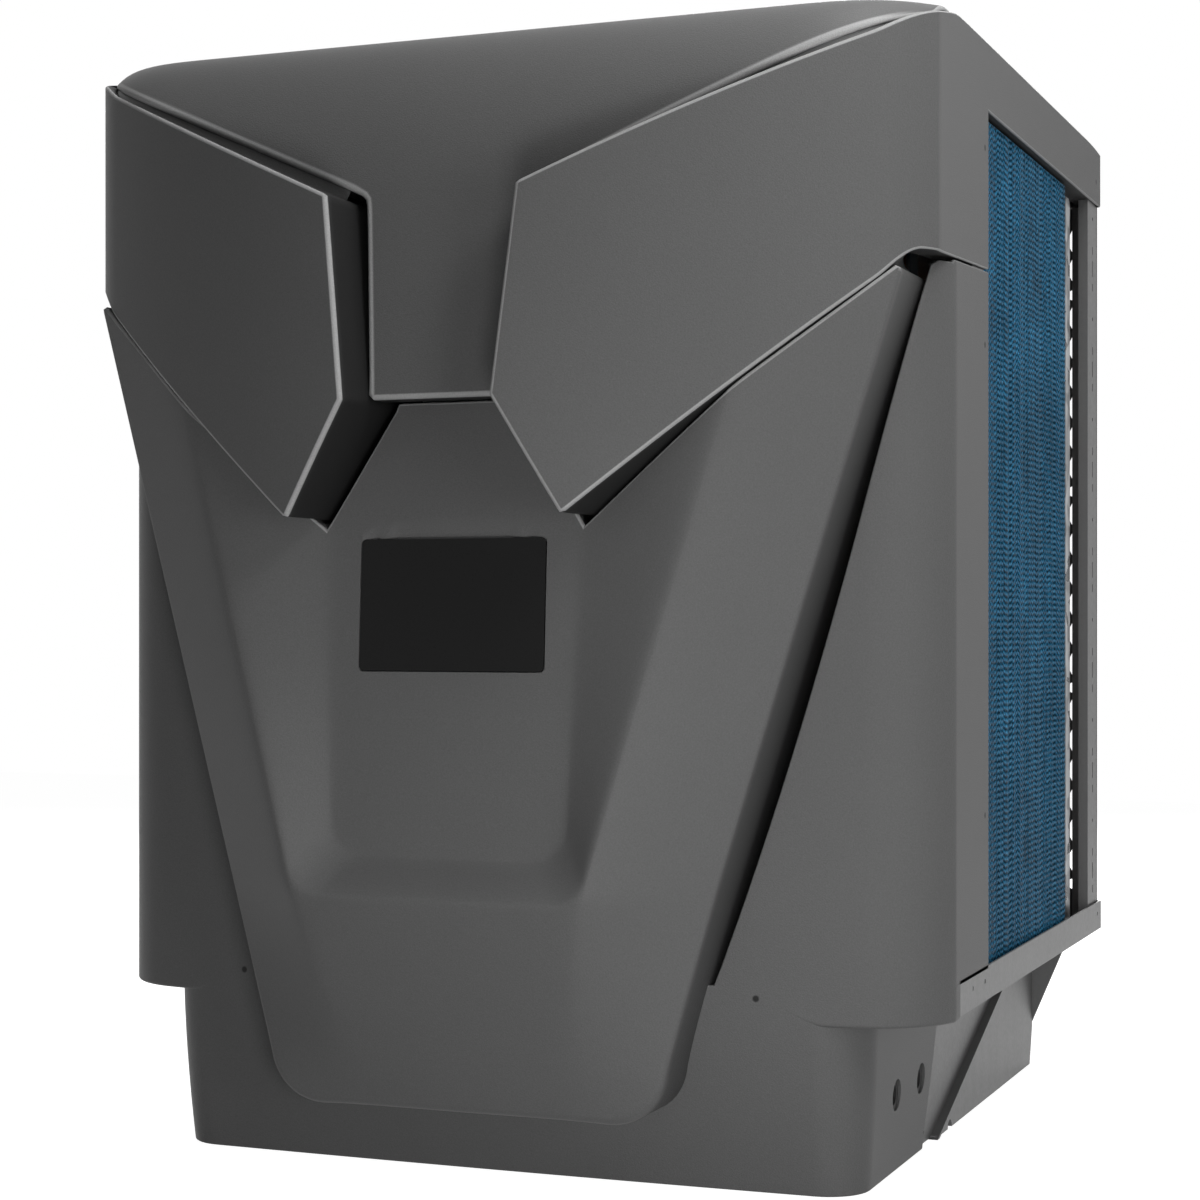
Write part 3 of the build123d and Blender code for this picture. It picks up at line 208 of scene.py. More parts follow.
def planCorner(arc, half, corner, turn):
    # where the rounded corner starts and ends: it leaves the front arc smoothly, turns until it faces
    # "turn" degrees from the front, and meets the side there in a soft crease
    centreX, centreY, radius = arc
    turn = math.radians(turn)
    cornerX = half - corner * math.sin(turn)
    cornerY = centreY - np.sqrt((radius - corner) ** 2 - (cornerX - centreX) ** 2)
    first = np.arcsin((0 - centreX) / radius)
    last = np.arctan2(cornerX - centreX, centreY - cornerY)
    return cornerX, cornerY, first, last, turn


def planPath(t, z, arc, half, corner, rear, turn=90):
    # right half of a cover in plan. t 0..1 runs along the front arc from the middle line, 1..2 round the
    # corner, 2..3 along the side to the rear. arc is (centre x, centre y, radius).
    centreX, centreY, radius = arc
    cornerX, cornerY, first, last, end = planCorner(arc, half, corner, turn)
    onArc = first + (last - first) * np.clip(t, 0, 1)
    onCorner = last + (end - last) * np.clip(t - 1, 0, 1)
    x = np.where(t <= 1, centreX + radius * np.sin(onArc), cornerX + corner * np.sin(onCorner))
    y = np.where(t <= 1, centreY - radius * np.cos(onArc), cornerY - corner * np.cos(onCorner))
    sideStart = cornerY - corner * math.cos(end)
    y = np.where(t > 2, sideStart + (rear - sideStart) * (t - 2), y)
    return stacked(x, y, z)


def pathAcross(x, arc, half, corner, turn=90):
    # the t of planPath at which the front reaches this x
    centreX, centreY, radius = arc
    cornerX, cornerY, first, last, end = planCorner(arc, half, corner, turn)
    onArc = (np.arcsin(np.clip((x - centreX) / radius, -1, 1)) - first) / (last - first)
    onCorner = 1 + (np.arcsin(np.clip((x - cornerX) / corner, -1, 1)) - last) / (end - last)
    return np.where(onArc <= 1, onArc, onCorner)


# ---- shader groups and materials

def newGroup(name, inputs, outputs):
    tree = bpy.data.node_groups.new(name, "ShaderNodeTree")
    for label, kind, value in inputs:
        socket = tree.interface.new_socket(label, in_out="INPUT", socket_type=kind)
        socket.default_value = value
    for label, kind in outputs:
        tree.interface.new_socket(label, in_out="OUTPUT", socket_type=kind)
    return tree, tree.nodes.new("NodeGroupInput"), tree.nodes.new("NodeGroupOutput")


def addNode(tree, kind, links=None, **settings):
    # a node with its settings; links maps an input's name or number to a socket or a value
    node = tree.nodes.new("ShaderNode" + kind)
    for key, value in settings.items():
        setattr(node, key, value)
    for key, value in (links or {}).items():
        socket = node.inputs[key]
        if isinstance(value, bpy.types.NodeSocket):
            tree.links.new(value, socket)
        else:
            socket.default_value = value
    return node


surfaceOutputs = [("Tone", "NodeSocketFloat"), ("Roughness", "NodeSocketFloat"),
                  ("Normal", "NodeSocketVector")]


def giveSurface(tree, out, tone, rough, bump):
    # what every surface group gives out: tone, roughness and bumped normal
    for label, node in (("Tone", tone), ("Roughness", rough), ("Normal", bump)):
        tree.links.new(node.outputs[0], out.inputs[label])


def mouldedGroup():
    # fine spark-eroded texture of a moulded cover: small pits and grains, a little uneven gloss, and painted
    # highlight on rims and painted shade on the walls behind them from the mesh attribute
    tree, given, out = newGroup("mouldedTexture",
                                [("Grain", "NodeSocketFloat", 1100.0), ("Depth", "NodeSocketFloat", 0.1),
                                 ("Speckle", "NodeSocketFloat", 0.12), ("Gloss", "NodeSocketFloat", 0.5),
                                 ("Edge Lift", "NodeSocketFloat", 0.0)],
                                surfaceOutputs)
    place = addNode(tree, "TexCoord").outputs["Object"]
    grain = addNode(tree, "TexNoise", {"Vector": place, "Scale": given.outputs["Grain"], "Detail": 2.0,
                                       "Roughness": 0.6})
    pits = addNode(tree, "TexVoronoi", {"Vector": place, "Scale": given.outputs["Grain"]})
    broad = addNode(tree, "TexNoise", {"Vector": place, "Scale": 9.0, "Detail": 3.0, "Roughness": 0.55})
    height = addNode(tree, "Math", {0: grain.outputs[0], 1: pits.outputs["Distance"]}, operation="ADD")
    bump = addNode(tree, "Bump", {"Strength": given.outputs["Depth"], "Distance": 0.0006,
                                  "Height": height.outputs[0]})
    spread = addNode(tree, "Math", {0: grain.outputs[0], 1: 0.5}, operation="SUBTRACT")
    speckle = addNode(tree, "Math", {0: spread.outputs[0], 1: given.outputs["Speckle"], 2: 1.0},
                      operation="MULTIPLY_ADD")
    cloud = addNode(tree, "MapRange", {"Value": broad.outputs[0], "From Min": 0.3, "From Max": 0.7,
                                       "To Min": 0.985, "To Max": 1.015})
    # painted light: the rim mark times its strength lightens rims as a painted highlight and darkens walls as
    # painted shade
    mark = addNode(tree, "Attribute", attribute_name="paintedRimLightAndShade")
    lifted = addNode(tree, "Math", {0: mark.outputs["Fac"], 1: given.outputs["Edge Lift"], 2: 1.0},
                     operation="MULTIPLY_ADD")
    flat = addNode(tree, "Math", {0: speckle.outputs[0], 1: cloud.outputs[0]}, operation="MULTIPLY")
    tone = addNode(tree, "Math", {0: flat.outputs[0], 1: lifted.outputs[0]}, operation="MULTIPLY")
    rough = addNode(tree, "Math", {0: spread.outputs[0], 1: 0.18, 2: given.outputs["Gloss"]},
                    operation="MULTIPLY_ADD")
    giveSurface(tree, out, tone, rough, bump)
    return tree


def sheetGroup():
    # sheet metal: orange-peel coat or zinc flowers, with faint smears along one axis
    tree, given, out = newGroup("sheetSurface",
                                [("Cells", "NodeSocketFloat", 60.0), ("Contrast", "NodeSocketFloat", 0.1),
                                 ("Peel", "NodeSocketFloat", 0.1), ("Gloss", "NodeSocketFloat", 0.4)],
                                surfaceOutputs)
    place = addNode(tree, "TexCoord").outputs["Object"]
    cells = addNode(tree, "TexVoronoi", {"Vector": place, "Scale": given.outputs["Cells"]})
    mono = addNode(tree, "SeparateColor", {0: cells.outputs["Color"]})
    peel = addNode(tree, "TexNoise", {"Vector": place, "Scale": 500.0, "Detail": 2.0})
    stretched = addNode(tree, "Mapping", {"Vector": place, "Scale": (3.0, 3.0, 0.4)})
    smear = addNode(tree, "TexNoise", {"Vector": stretched.outputs[0], "Scale": 14.0, "Detail": 4.0})
    centred = addNode(tree, "Math", {0: mono.outputs[0], 1: 0.5}, operation="SUBTRACT")
    tone = addNode(tree, "Math", {0: centred.outputs[0], 1: given.outputs["Contrast"], 2: 1.0},
                   operation="MULTIPLY_ADD")
    smearTone = addNode(tree, "MapRange", {"Value": smear.outputs[0], "From Min": 0.3, "From Max": 0.7,
                                           "To Min": 0.93, "To Max": 1.05})
    whole = addNode(tree, "Math", {0: tone.outputs[0], 1: smearTone.outputs[0]}, operation="MULTIPLY")
    rough = addNode(tree, "Math", {0: centred.outputs[0], 1: given.outputs["Contrast"],
                                   2: given.outputs["Gloss"]}, operation="MULTIPLY_ADD")
    bump = addNode(tree, "Bump", {"Strength": given.outputs["Peel"], "Distance": 0.0005,
                                  "Height": peel.outputs[0]})
    giveSurface(tree, out, whole, rough, bump)
    return tree


def finGroup():
    # stamped fins seen edge on: painted highlight and painted shade as a row of bright and dark dashes for
    # every ripple, thrown out of step from one narrow upright strip to the next, and broad soft stains
    tree, given, out = newGroup("finPattern",
                                [("Pitch", "NodeSocketFloat", 0.0056), ("Streak", "NodeSocketFloat", 230.0),
                                 ("Ripple Painted Shade", "NodeSocketFloat", 0.2), ("Gloss", "NodeSocketFloat", 0.4)],
                                surfaceOutputs)
    place = addNode(tree, "TexCoord").outputs["Object"]
    axes = addNode(tree, "SeparateXYZ", {0: place})
    strips = addNode(tree, "TexNoise", {"W": axes.outputs["Y"], "Scale": given.outputs["Streak"],
                                        "Detail": 1.0},
                     noise_dimensions="1D")
    rows = addNode(tree, "Math", {0: axes.outputs["Z"], 1: given.outputs["Pitch"]}, operation="DIVIDE")
    shifted = addNode(tree, "Math", {0: strips.outputs[0], 1: 2.2, 2: rows.outputs[0]},
                      operation="MULTIPLY_ADD")
    turns = addNode(tree, "Math", {0: shifted.outputs[0], 1: 2 * math.pi}, operation="MULTIPLY")
    wave = addNode(tree, "Math", {0: turns.outputs[0]}, operation="SINE")
    long = addNode(tree, "Mapping", {"Vector": place, "Scale": (1.0, 1.0, 0.05)})
    columns = addNode(tree, "TexNoise", {"Vector": long.outputs[0], "Scale": 330.0, "Detail": 2.0,
                                         "Roughness": 0.7})
    speck = addNode(tree, "TexNoise", {"Vector": place, "Scale": 420.0, "Detail": 1.0})
    stain = addNode(tree, "TexNoise", {"Vector": place, "Scale": 7.0, "Detail": 3.0, "Roughness": 0.6})
    # painted light of the ripples: the wave runs the tone between the painted shade level and full
    dash = addNode(tree, "MapRange", {"Value": wave.outputs[0], "From Min": -0.6, "From Max": 0.7,
                                      "To Min": given.outputs["Ripple Painted Shade"], "To Max": 1.0})
    streak = addNode(tree, "MapRange", {"Value": columns.outputs[0], "From Min": 0.32, "From Max": 0.68,
                                        "To Min": 0.45, "To Max": 1.35})
    fleck = addNode(tree, "MapRange", {"Value": speck.outputs[0], "From Min": 0.3, "From Max": 0.72,
                                       "To Min": 0.6, "To Max": 1.5})
    cloud = addNode(tree, "MapRange", {"Value": stain.outputs[0], "From Min": 0.3, "From Max": 0.7,
                                       "To Min": 0.75, "To Max": 1.15})
    first = addNode(tree, "Math", {0: dash.outputs[0], 1: streak.outputs[0]}, operation="MULTIPLY")
    second = addNode(tree, "Math", {0: fleck.outputs[0], 1: cloud.outputs[0]}, operation="MULTIPLY")
    tone = addNode(tree, "Math", {0: first.outputs[0], 1: second.outputs[0]}, operation="MULTIPLY")
    rough = addNode(tree, "Math", {0: columns.outputs[0], 1: 0.2, 2: given.outputs["Gloss"]},
                    operation="MULTIPLY_ADD")
    bump = addNode(tree, "Bump", {"Strength": 0.2, "Distance": 0.0006, "Height": wave.outputs[0]})
    giveSurface(tree, out, tone, rough, bump)
    return tree


# places of the sunk screws, mirrored on the other side: x, y measured from the middle of the cabinet, z
screwPlaces = [(244.0, -301.5, 168.0), (397.5, -117.0, 904.0), (397.5, 428.0, 963.0), (397.5, -117.0, 729.5),
               (397.5, -117.0, 313.0)]


def screwGroup():
    # painted shade of small sunk wells over the screws: dark where the distance to the nearest place is less
    # than the well's radius
    tree, given, out = newGroup("paintedScrewShade", [("Radius", "NodeSocketFloat", 0.003)],
                                [("Shade", "NodeSocketFloat")])
    axes = addNode(tree, "SeparateXYZ", {0: addNode(tree, "TexCoord").outputs["Object"]})
    mirrored = addNode(tree, "Math", {0: axes.outputs["X"]}, operation="ABSOLUTE")
    place = addNode(tree, "CombineXYZ", {"X": mirrored.outputs[0], "Y": axes.outputs["Y"],
                                         "Z": axes.outputs["Z"]})
    nearest = 1.0
    for x, y, z in screwPlaces:
        centre = (x * millimetre, (y + frameShift) * millimetre, z * millimetre)
        away = addNode(tree, "VectorMath", {0: place.outputs[0], 1: centre}, operation="DISTANCE")
        nearest = addNode(tree, "Math", {0: away.outputs["Value"], 1: nearest},
                          operation="MINIMUM").outputs[0]
    share = addNode(tree, "Math", {0: nearest, 1: given.outputs["Radius"]}, operation="DIVIDE")
    shade = addNode(tree, "MapRange", {"Value": share.outputs[0], "From Min": 0.7, "From Max": 1.15,
                                       "To Min": 0.12,
                                       "To Max": 1.0})
    tree.links.new(shade.outputs[0], out.inputs["Shade"])
    return tree


mouldedTexture = mouldedGroup()
finPattern = finGroup()
paintedScrewShade = screwGroup()
sheetSurface = sheetGroup()


def finishMaterial(name, group, colour, values, wells=False, **shaderValues):
    # a Principled shader whose colour, roughness and normal come from one of the groups
    material = bpy.data.materials.new(name)
    material.use_nodes = True
    tree = material.node_tree
    shader = tree.nodes["Principled BSDF"]
    surface = addNode(tree, "Group", node_tree=group)
    for label, value in values.items():
        surface.inputs[label].default_value = value
    tone = surface.outputs["Tone"]
    # painted shade of the screw wells multiplies the colour
    if wells:
        shade = addNode(tree, "Group", node_tree=paintedScrewShade)
        tone = addNode(tree, "Math", {0: tone, 1: shade.outputs["Shade"]}, operation="MULTIPLY").outputs[0]
    scaled = addNode(tree, "VectorMath", {0: colour, "Scale": tone}, operation="SCALE")
    tree.links.new(scaled.outputs[0], shader.inputs["Base Color"])
    tree.links.new(surface.outputs["Roughness"], shader.inputs["Roughness"])
    tree.links.new(surface.outputs["Normal"], shader.inputs["Normal"])
    for label, value in shaderValues.items():
        shader.inputs[label.replace("_", " ")].default_value = value
    return material


finishes = {
    # cover plastic: painted highlight on its rims, painted shade on the walls behind them and painted shade
    # in the screw holes
    "cover_plastic": finishMaterial("coverPlastic", mouldedTexture, (0.125, 0.125, 0.125),
                                    {"Grain": 850.0, "Depth": 0.25, "Speckle": 0.5, "Gloss": 0.5,
                                     "Edge Lift": 2.0}, wells=True, Specular_IOR_Level=0.12),
    "display_glass": finishMaterial("displayGlass", mouldedTexture, (0.0125, 0.0125, 0.0125),
                                    {"Grain": 900.0, "Depth": 0.0, "Speckle": 0.05, "Gloss": 0.3},
                                    Specular_IOR_Level=0.08),
    "dark_plastic": finishMaterial("darkPlastic", mouldedTexture, (0.02, 0.02, 0.021),
                                   {"Grain": 800.0, "Depth": 0.15, "Speckle": 0.2, "Gloss": 0.5}),
    "grey_plastic": finishMaterial("greyPlastic", mouldedTexture, (0.2, 0.2, 0.205),
                                   {"Grain": 700.0, "Depth": 0.06, "Speckle": 0.06, "Gloss": 0.36}),
    "pan_steel": finishMaterial("panSteel", sheetSurface, (0.125, 0.125, 0.125),
                                {"Cells": 300.0, "Contrast": 0.06, "Peel": 0.12, "Gloss": 0.45}),
    "post_steel": finishMaterial("postSteel", sheetSurface, (0.085, 0.085, 0.085),
                                 {"Cells": 300.0, "Contrast": 0.06, "Peel": 0.12, "Gloss": 0.45}),
    "zinc_steel": finishMaterial("zincSteel", sheetSurface, (0.5, 0.51, 0.52),
                                 {"Cells": 70.0, "Contrast": 0.22, "Peel": 0.04, "Gloss": 0.36},
                                 Metallic=0.9),
    "black_steel": finishMaterial("blackSteel", sheetSurface, (0.015, 0.015, 0.016),
                                  {"Cells": 400.0, "Contrast": 0.1, "Peel": 0.15, "Gloss": 0.4}),
    "coated_fins": finishMaterial("coatedFins", finPattern, (0.03, 0.215, 0.40),
                                  {"Pitch": 0.0056, "Streak": 230.0, "Ripple Painted Shade": 0.2, "Gloss": 0.4},
                                  Specular_IOR_Level=0.15),
    "copper": finishMaterial("copperTube", sheetSurface, (0.62, 0.27, 0.16),
                             {"Cells": 30.0, "Contrast": 0.2, "Peel": 0.04, "Gloss": 0.3}, Metallic=1.0),
    "rubber": finishMaterial("blackRubber", mouldedTexture, (0.018, 0.018, 0.018),
                             {"Grain": 600.0, "Depth": 0.2, "Speckle": 0.2, "Gloss": 0.7}),
    "board": finishMaterial("circuitBoard", sheetSurface, (0.02, 0.14, 0.05),
                            {"Cells": 250.0, "Contrast": 0.5, "Peel": 0.1, "Gloss": 0.35}),
    "screws": finishMaterial("screwSteel", sheetSurface, (0.03, 0.03, 0.032),
                             {"Cells": 200.0, "Contrast": 0.1, "Peel": 0.02, "Gloss": 0.4}),
}
slotOfNode = {part["node"]: part["material_slot"] for part in frame["record"]["subparts"]}
for nodeName, node in frame["nodes"].items():
    for materialSlot in node.material_slots:
        materialSlot.material = finishes[slotOfNode[nodeName]]
coverPlastic = finishes["cover_plastic"]
print("materials made and set on", len(frame["nodes"]), "nodes")


# ---- front cover: the raised shield

shield = {
    "foot": 72.0, "footCorner": 34.0,
    # level, half width, its slope, reach forward, its slope
    "edge": (120.0, 187.0, 0.2932, 361.0, -0.05),
    "crease": (280.0, 138.3, 0.2867, 422.0, -0.0653),
    "lowCrease": (72.0, 100.0, 0.1669, 368.0, 0.2978),
    "panel": (280.0, 107.9, 0.0379, 393.0, -0.0535),
    "mouthLow": 250.0, "panelLow": 284.0, "panelCorner": 30.0, "mouthCorner": 22.0,
    "notch": [(0.0, 671.5), (52.6, 671.5), (119.0, 564.5), (389.0, 786.5)],
    "display": (171.0, 112.0, 498.8), "displayGap": 0.8, "displayCorner": 5.0, "displayDepth": 4.5,
    "creaseRound": 5.0, "panelRound": 2.4, "sideRim": 5.0, "footRim": 9.0, "notchRim": 2.6,
    "wallTo": -232.0,
}


def lineWidth(z, line):
    return line[1] + (z - line[0]) * line[2]


def lineReach(z, line):
    return line[3] + (z - line[0]) * line[4]


def shieldCreaseWidth(z):
    return softMax(lineWidth(z, shield["crease"]), lineWidth(z, shield["lowCrease"]), 4.0)


def shieldCreaseReach(z):
    return softMin(lineReach(z, shield["crease"]), lineReach(z, shield["lowCrease"]), 3.0)


def shieldHalf(z):
    # half width with the two rounded bottom corners, less the rolled edge
    radius = shield["footCorner"]
    up = np.clip(radius - (z - shield["foot"]), 0, radius)
    return lineWidth(z, shield["edge"]) - radius + np.sqrt(radius ** 2 - up ** 2) - 0.7 * shield["sideRim"]


def notchLevel(x):
    # top edge of the shield seen from the front, lowered by the rolled edge
    corners = np.array(shield["notch"])
    drop = np.interp(np.abs(x), [0, 52.6, 52.7, 119, 389], [1, 1, 1.9, 1.6, 1.3]) * shield["notchRim"]
    return np.interp(np.abs(x), corners[:, 0], corners[:, 1]) - drop


def troughDepthShare(x, z):
    # How far up the wall of the trough a point lies: 0 on the panel, 1 at the mouth. For each share the
    # outline is a round-cornered box open at the top, growing from the panel's to the mouth's, and the
    # share whose outline passes through the point is found by halving.
    low, high = np.full(x.shape, -0.8), np.full(x.shape, 1.8)
    for _ in range(26):
        share = (low + high) / 2
        width = lineWidth(z, shield["panel"]) * (1 - share) + lineWidth(z, shield["crease"]) * share
        bottom = shield["panelLow"] * (1 - share) + shield["mouthLow"] * share
        corner = shield["panelCorner"] * (1 - share) + shield["mouthCorner"] * share
        across = np.abs(x) - width + corner
        below = bottom - z + corner
        away = np.hypot(np.maximum(across, 0), np.maximum(below, 0)) + np.minimum(np.maximum(across, below),
                                                                                  0) - corner
        low = np.where(away > 0, share, low)
        high = np.where(away > 0, high, share)
    return (low + high) / 2


def roundedBoxDistance(x, z, halfX, halfZ, corner):
    across, up = np.abs(x) - halfX + corner, np.abs(z) - halfZ + corner
    return np.hypot(np.maximum(across, 0), np.maximum(up, 0)) + np.minimum(np.maximum(across, up), 0) - corner


def shieldReach(x, z):
    # reach forward: the lower of the front plane, the two side planes and the trough's wall,
    # rounded at creases
    creaseWidth, creaseReach = shieldCreaseWidth(z), shieldCreaseReach(z)
    edgeWidth, edgeReach = lineWidth(z, shield["edge"]), lineReach(z, shield["edge"])
    side = edgeReach + (creaseReach - edgeReach) * (edgeWidth - np.abs(x)) / (edgeWidth - creaseWidth)
    outside = softMin(creaseReach, side, shield["creaseRound"])
    floor = lineReach(z, shield["panel"])
    share = troughDepthShare(x, z)
    wall = floor + (lineReach(z, shield["crease"]) - floor) * share
    reach = softMin(softMax(wall, floor, shield["panelRound"]), outside, shield["creaseRound"])
    width, height, middle = shield["display"]
    gap = shield["displayGap"]
    away = roundedBoxDistance(x, z - middle, width / 2 + gap, height / 2 + gap, shield["displayCorner"])
    return reach - shield["displayDepth"] * np.clip(-away / 0.5, 0, 1)


def shieldGrid():
    halfDisplay = shield["display"][0] / 2
    gap = shield["displayGap"]
    middle, halfHigh = shield["display"][2], shield["display"][1] / 2
    # columns: shares between the features middle line, tab corner, display edge, panel, crease and edge
    inside = [easedSteps(8, 0, 52.6), easedSteps(8, 52.6, halfDisplay - 1.0),
              np.linspace(halfDisplay - 1.0, halfDisplay + gap + 0.6, 7)]
    inside = chained(*inside)
    level = chained(easedSteps(14, shield["foot"], 106), easedSteps(9, 106, 240), np.linspace(240, 312, 58),
                    easedSteps(14, 312, middle - halfHigh - gap - 1.0),
                    np.linspace(middle - halfHigh - gap - 1.0, middle - halfHigh + 1.0, 8),
                    np.linspace(middle - halfHigh + 1.0, middle + 20, 7))
    upper = chained(easedSteps(22, 0, 0.96), np.linspace(0.96, 1.0, 6))

    def across(z):
        panel = lineWidth(z, shield["panel"])
        crease = shieldCreaseWidth(z)
        half = shieldHalf(z)
        panel = np.minimum(panel, half - 20)
        crease = np.minimum(crease, half - 6)
        a = easedSteps(22)[None, 1:]
        b = easedSteps(26)[None, 1:]
        c = chained(easedSteps(14, 0, 0.6), easedSteps(12, 0.6, 1.0))[None, 1:]
        start = inside[-1]
        return np.concatenate([np.broadcast_to(inside[None, :], (len(z), len(inside))),
                               start + (panel - start)[:, None] * a,
                               panel[:, None] + (crease - panel)[:, None] * b,
                               crease[:, None] + (half - crease)[:, None] * c], 1)

    def acrossAt(z):
        # the same columns where every point has a level of its own
        flat = across(z.ravel()).reshape(*z.shape, -1)
        return np.stack([flat[:, j, j] for j in range(z.shape[1])], 1)

    lowerX = across(level)
    lowerZ = np.broadcast_to(level[:, None], lowerX.shape)
    start = level[-1]
    upperZ = np.full((len(upper), lowerX.shape[1]), start)
    for _ in range(12):
        upperX = acrossAt(upperZ)
        upperZ = start + (notchLevel(upperX) - start) * upper[:, None]
    x = np.concatenate([lowerX, upperX[1:]])
    z = np.concatenate([lowerZ, upperZ[1:]])
    x = np.concatenate([-x[:, :0:-1], x], 1)
    z = np.concatenate([z[:, :0:-1], z], 1)
    return stacked(x, -shieldReach(x, z), z)


shieldPoints = shieldGrid()
shieldEdge, shieldInner = loopAround(shieldPoints)
onNotch = shieldEdge[:, 2] > notchLevel(shieldEdge[:, 0]) - 0.05
onFoot = smoothRamp(shieldEdge[:, 2], shield["foot"] + 45, shield["foot"] + 5)
rimRadius = np.where(onNotch, shield["notchRim"],
                     shield["sideRim"] + (shield["footRim"] - shield["sideRim"]) * onFoot)
shieldRim = rolledRim(shieldEdge, shieldInner, (0, 1, 0), rimRadius, shield["wallTo"] - shieldEdge[:, 1], 7,
                      True)
shieldRim = np.concatenate([shieldRim, shieldRim[:, :1]], 1)
# painted highlight on the rolled rim along the notch, and painted shade darkening down the side wall beside
# the vent slot
shieldNotchRimPaintedHighlight = np.where(onNotch, 0.8, 0.0)
shieldRimPaintedLight = np.zeros(shieldRim.shape[:2])
shieldRimPaintedLight[1:-3] = np.append(shieldNotchRimPaintedHighlight, shieldNotchRimPaintedHighlight[0])
shieldRimPaintedLight[-3:] = np.array([[0.0], [-0.15], [-0.45]])
shieldSheets = [sheet(shieldPoints), {**rimSheet(shieldRim, flip=True), "edge": shieldRimPaintedLight}]
shieldPiece = weightedNormals(makePiece("frontShield", shieldSheets, coverPlastic))
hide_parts("front_shield")
print("shield:", len(shieldPiece.data.polygons), "faces")


# ---- front cover: body beside the shield, with the vent slots, and the skirt

bodyCover = {
    "low": 148.5, "high": 788.5, "join": 162.5, "front": -318.0, "frontRadius": 1800.0, "corner": 84.0,
    "turn": 75.0,
    "windowFront": -104.0, "slotWidth": (6.0, 1.5), "slotLow": 176.0, "slotWall": 40.0, "edgeRim": 1.6,
    "lowRim": 3.0,
    "sideRise": 8.0, "panFront": -212.3, "panTop": 179.0,
}
bodyArc = (0.0, bodyCover["front"] + bodyCover["frontRadius"], bodyCover["frontRadius"])


def bodyPoints():
    # plan path carried up from the lower edge to the hood; its start follows the slot beside the shield
    half, corner = cabinet["halfWidth"], bodyCover["corner"]
    share = np.linspace(0, 1, 96)
    slotLow = bodyCover["slotLow"]
    level = chained(easedSteps(8, 0.0, slotLow), np.array([slotLow, slotLow + 0.01]),
                    easedSteps(50, slotLow + 0.01, bodyCover["high"]))
    # below the slot the cover runs on under the shield; the slot narrows towards its top
    slot = np.interp(level, (slotLow, bodyCover["high"]), bodyCover["slotWidth"])
    startX = lineWidth(level, shield["edge"]) + np.where(level > slotLow, slot, -8.0)
    start = pathAcross(startX, bodyArc, half, corner, bodyCover["turn"])
    t = start[:, None] + (3 - start[:, None]) * share[None, :]
    # two columns are drawn together where the lower edge steps up over the end of the pan
    cornerY = planCorner(bodyArc, half, corner,
                         bodyCover["turn"])[1] - corner * math.cos(math.radians(bodyCover["turn"]))
    step = 2 + (bodyCover["panFront"] - cornerY) / (bodyCover["windowFront"] - cornerY)
    for row in t:
        column = np.searchsorted(row, step)
        row[column - 1:column + 1] = step - 0.003, step + 0.0001
    points = planPath(t, level[:, None], bodyArc, half, corner, bodyCover["windowFront"], bodyCover["turn"])
    # the lower edge is at "join" in the middle, where the skirt runs on, and lower where the corner overhangs
    low = bodyCover["join"] + (bodyCover["low"] - bodyCover["join"]) * smoothRamp(points[..., 0], 255, 300)
    onPan = (points[..., 1] > bodyCover["panFront"] - 0.3) & (points[..., 0] > half - 1)
    low = np.where(onPan, bodyCover["panTop"], low)
    rise = bodyCover["sideRise"] * np.clip((points[..., 1] + 278) / 174, 0, 1) * (points[..., 0] > half - 1)
    top = np.minimum(notchLevel(points[..., 0]) + 3, bodyCover["high"]) + rise
    stretch = np.clip(level[:, None] / slotLow, 0, 1)
    points[..., 2] = np.where(level[:, None] <= slotLow, low + (slotLow - low) * stretch,
                              slotLow + (level[:, None] - slotLow) * (top - slotLow)
                              / (bodyCover["high"] - slotLow))
    return points


def planOutward(points):
    # outward direction in plan, from the way the columns run
    run = np.gradient(points, axis=0)
    return unit(stacked(run[:, 1], -run[:, 0], 0 * run[:, 0]))


rightBody = bodyPoints()
slotEdge = rolledRim(rightBody[:, 0], rightBody[:, 1], (0, 1, 0), bodyCover["edgeRim"], bodyCover["slotWall"],
                     4)
lowInward = -planOutward(rightBody[0])
lowLength = np.where(rightBody[0, :, 2] > 170, 3, 2 + 74 * smoothRamp(rightBody[0, :, 0], 262, 330))
lowEdge = rolledRim(rightBody[0], rightBody[1], lowInward, bodyCover["lowRim"], lowLength, 5)
topEdge = rolledRim(rightBody[-1], rightBody[-2], -planOutward(rightBody[-1]), bodyCover["edgeRim"], 6, 4)
windowEdge = rolledRim(rightBody[:, -1], rightBody[:, -2], (-1, 0, 0), bodyCover["edgeRim"], 6, 4)
# the slot and top rims get a faint painted highlight, and the walls behind them painted shade
bodySheets = bothSides(sheet(rightBody), rimSheet(slotEdge, bright=0.1), sheet(lowEdge, flip=True),
                       rimSheet(topEdge, bright=0.2), sheet(windowEdge, flip=True))
bodyPiece = weightedNormals(makePiece("frontCheeks", bodySheets, coverPlastic))

skirt = {
    "low": 1.9, "high": 162.5, "foot": (9000.0, -282.0, 326.0, 40.0), "top": (1800.0, -318.0, 334.0, 54.0),
    "rearLow": (-64.0, -5.0), "rearHigh": (-15.0, 170.0), "swell": 1.7, "footRim": 2.0,
    "holes": (-169.0, -83.0), "holeLevel": 70.0, "holeRadius": 15.0, "holeBlock": 24.0,
}


def skirtShare(z):
    # 0 on the floor and 1 at the top, where the surface ends upright
    return 1 - (1 - np.clip(z / skirt["high"], 0, 1)) ** skirt["swell"]


def skirtRear(z):
    (y0, z0), (y1, z1) = skirt["rearLow"], skirt["rearHigh"]
    return y0 + (z - z0) * (y1 - y0) / (z1 - z0)


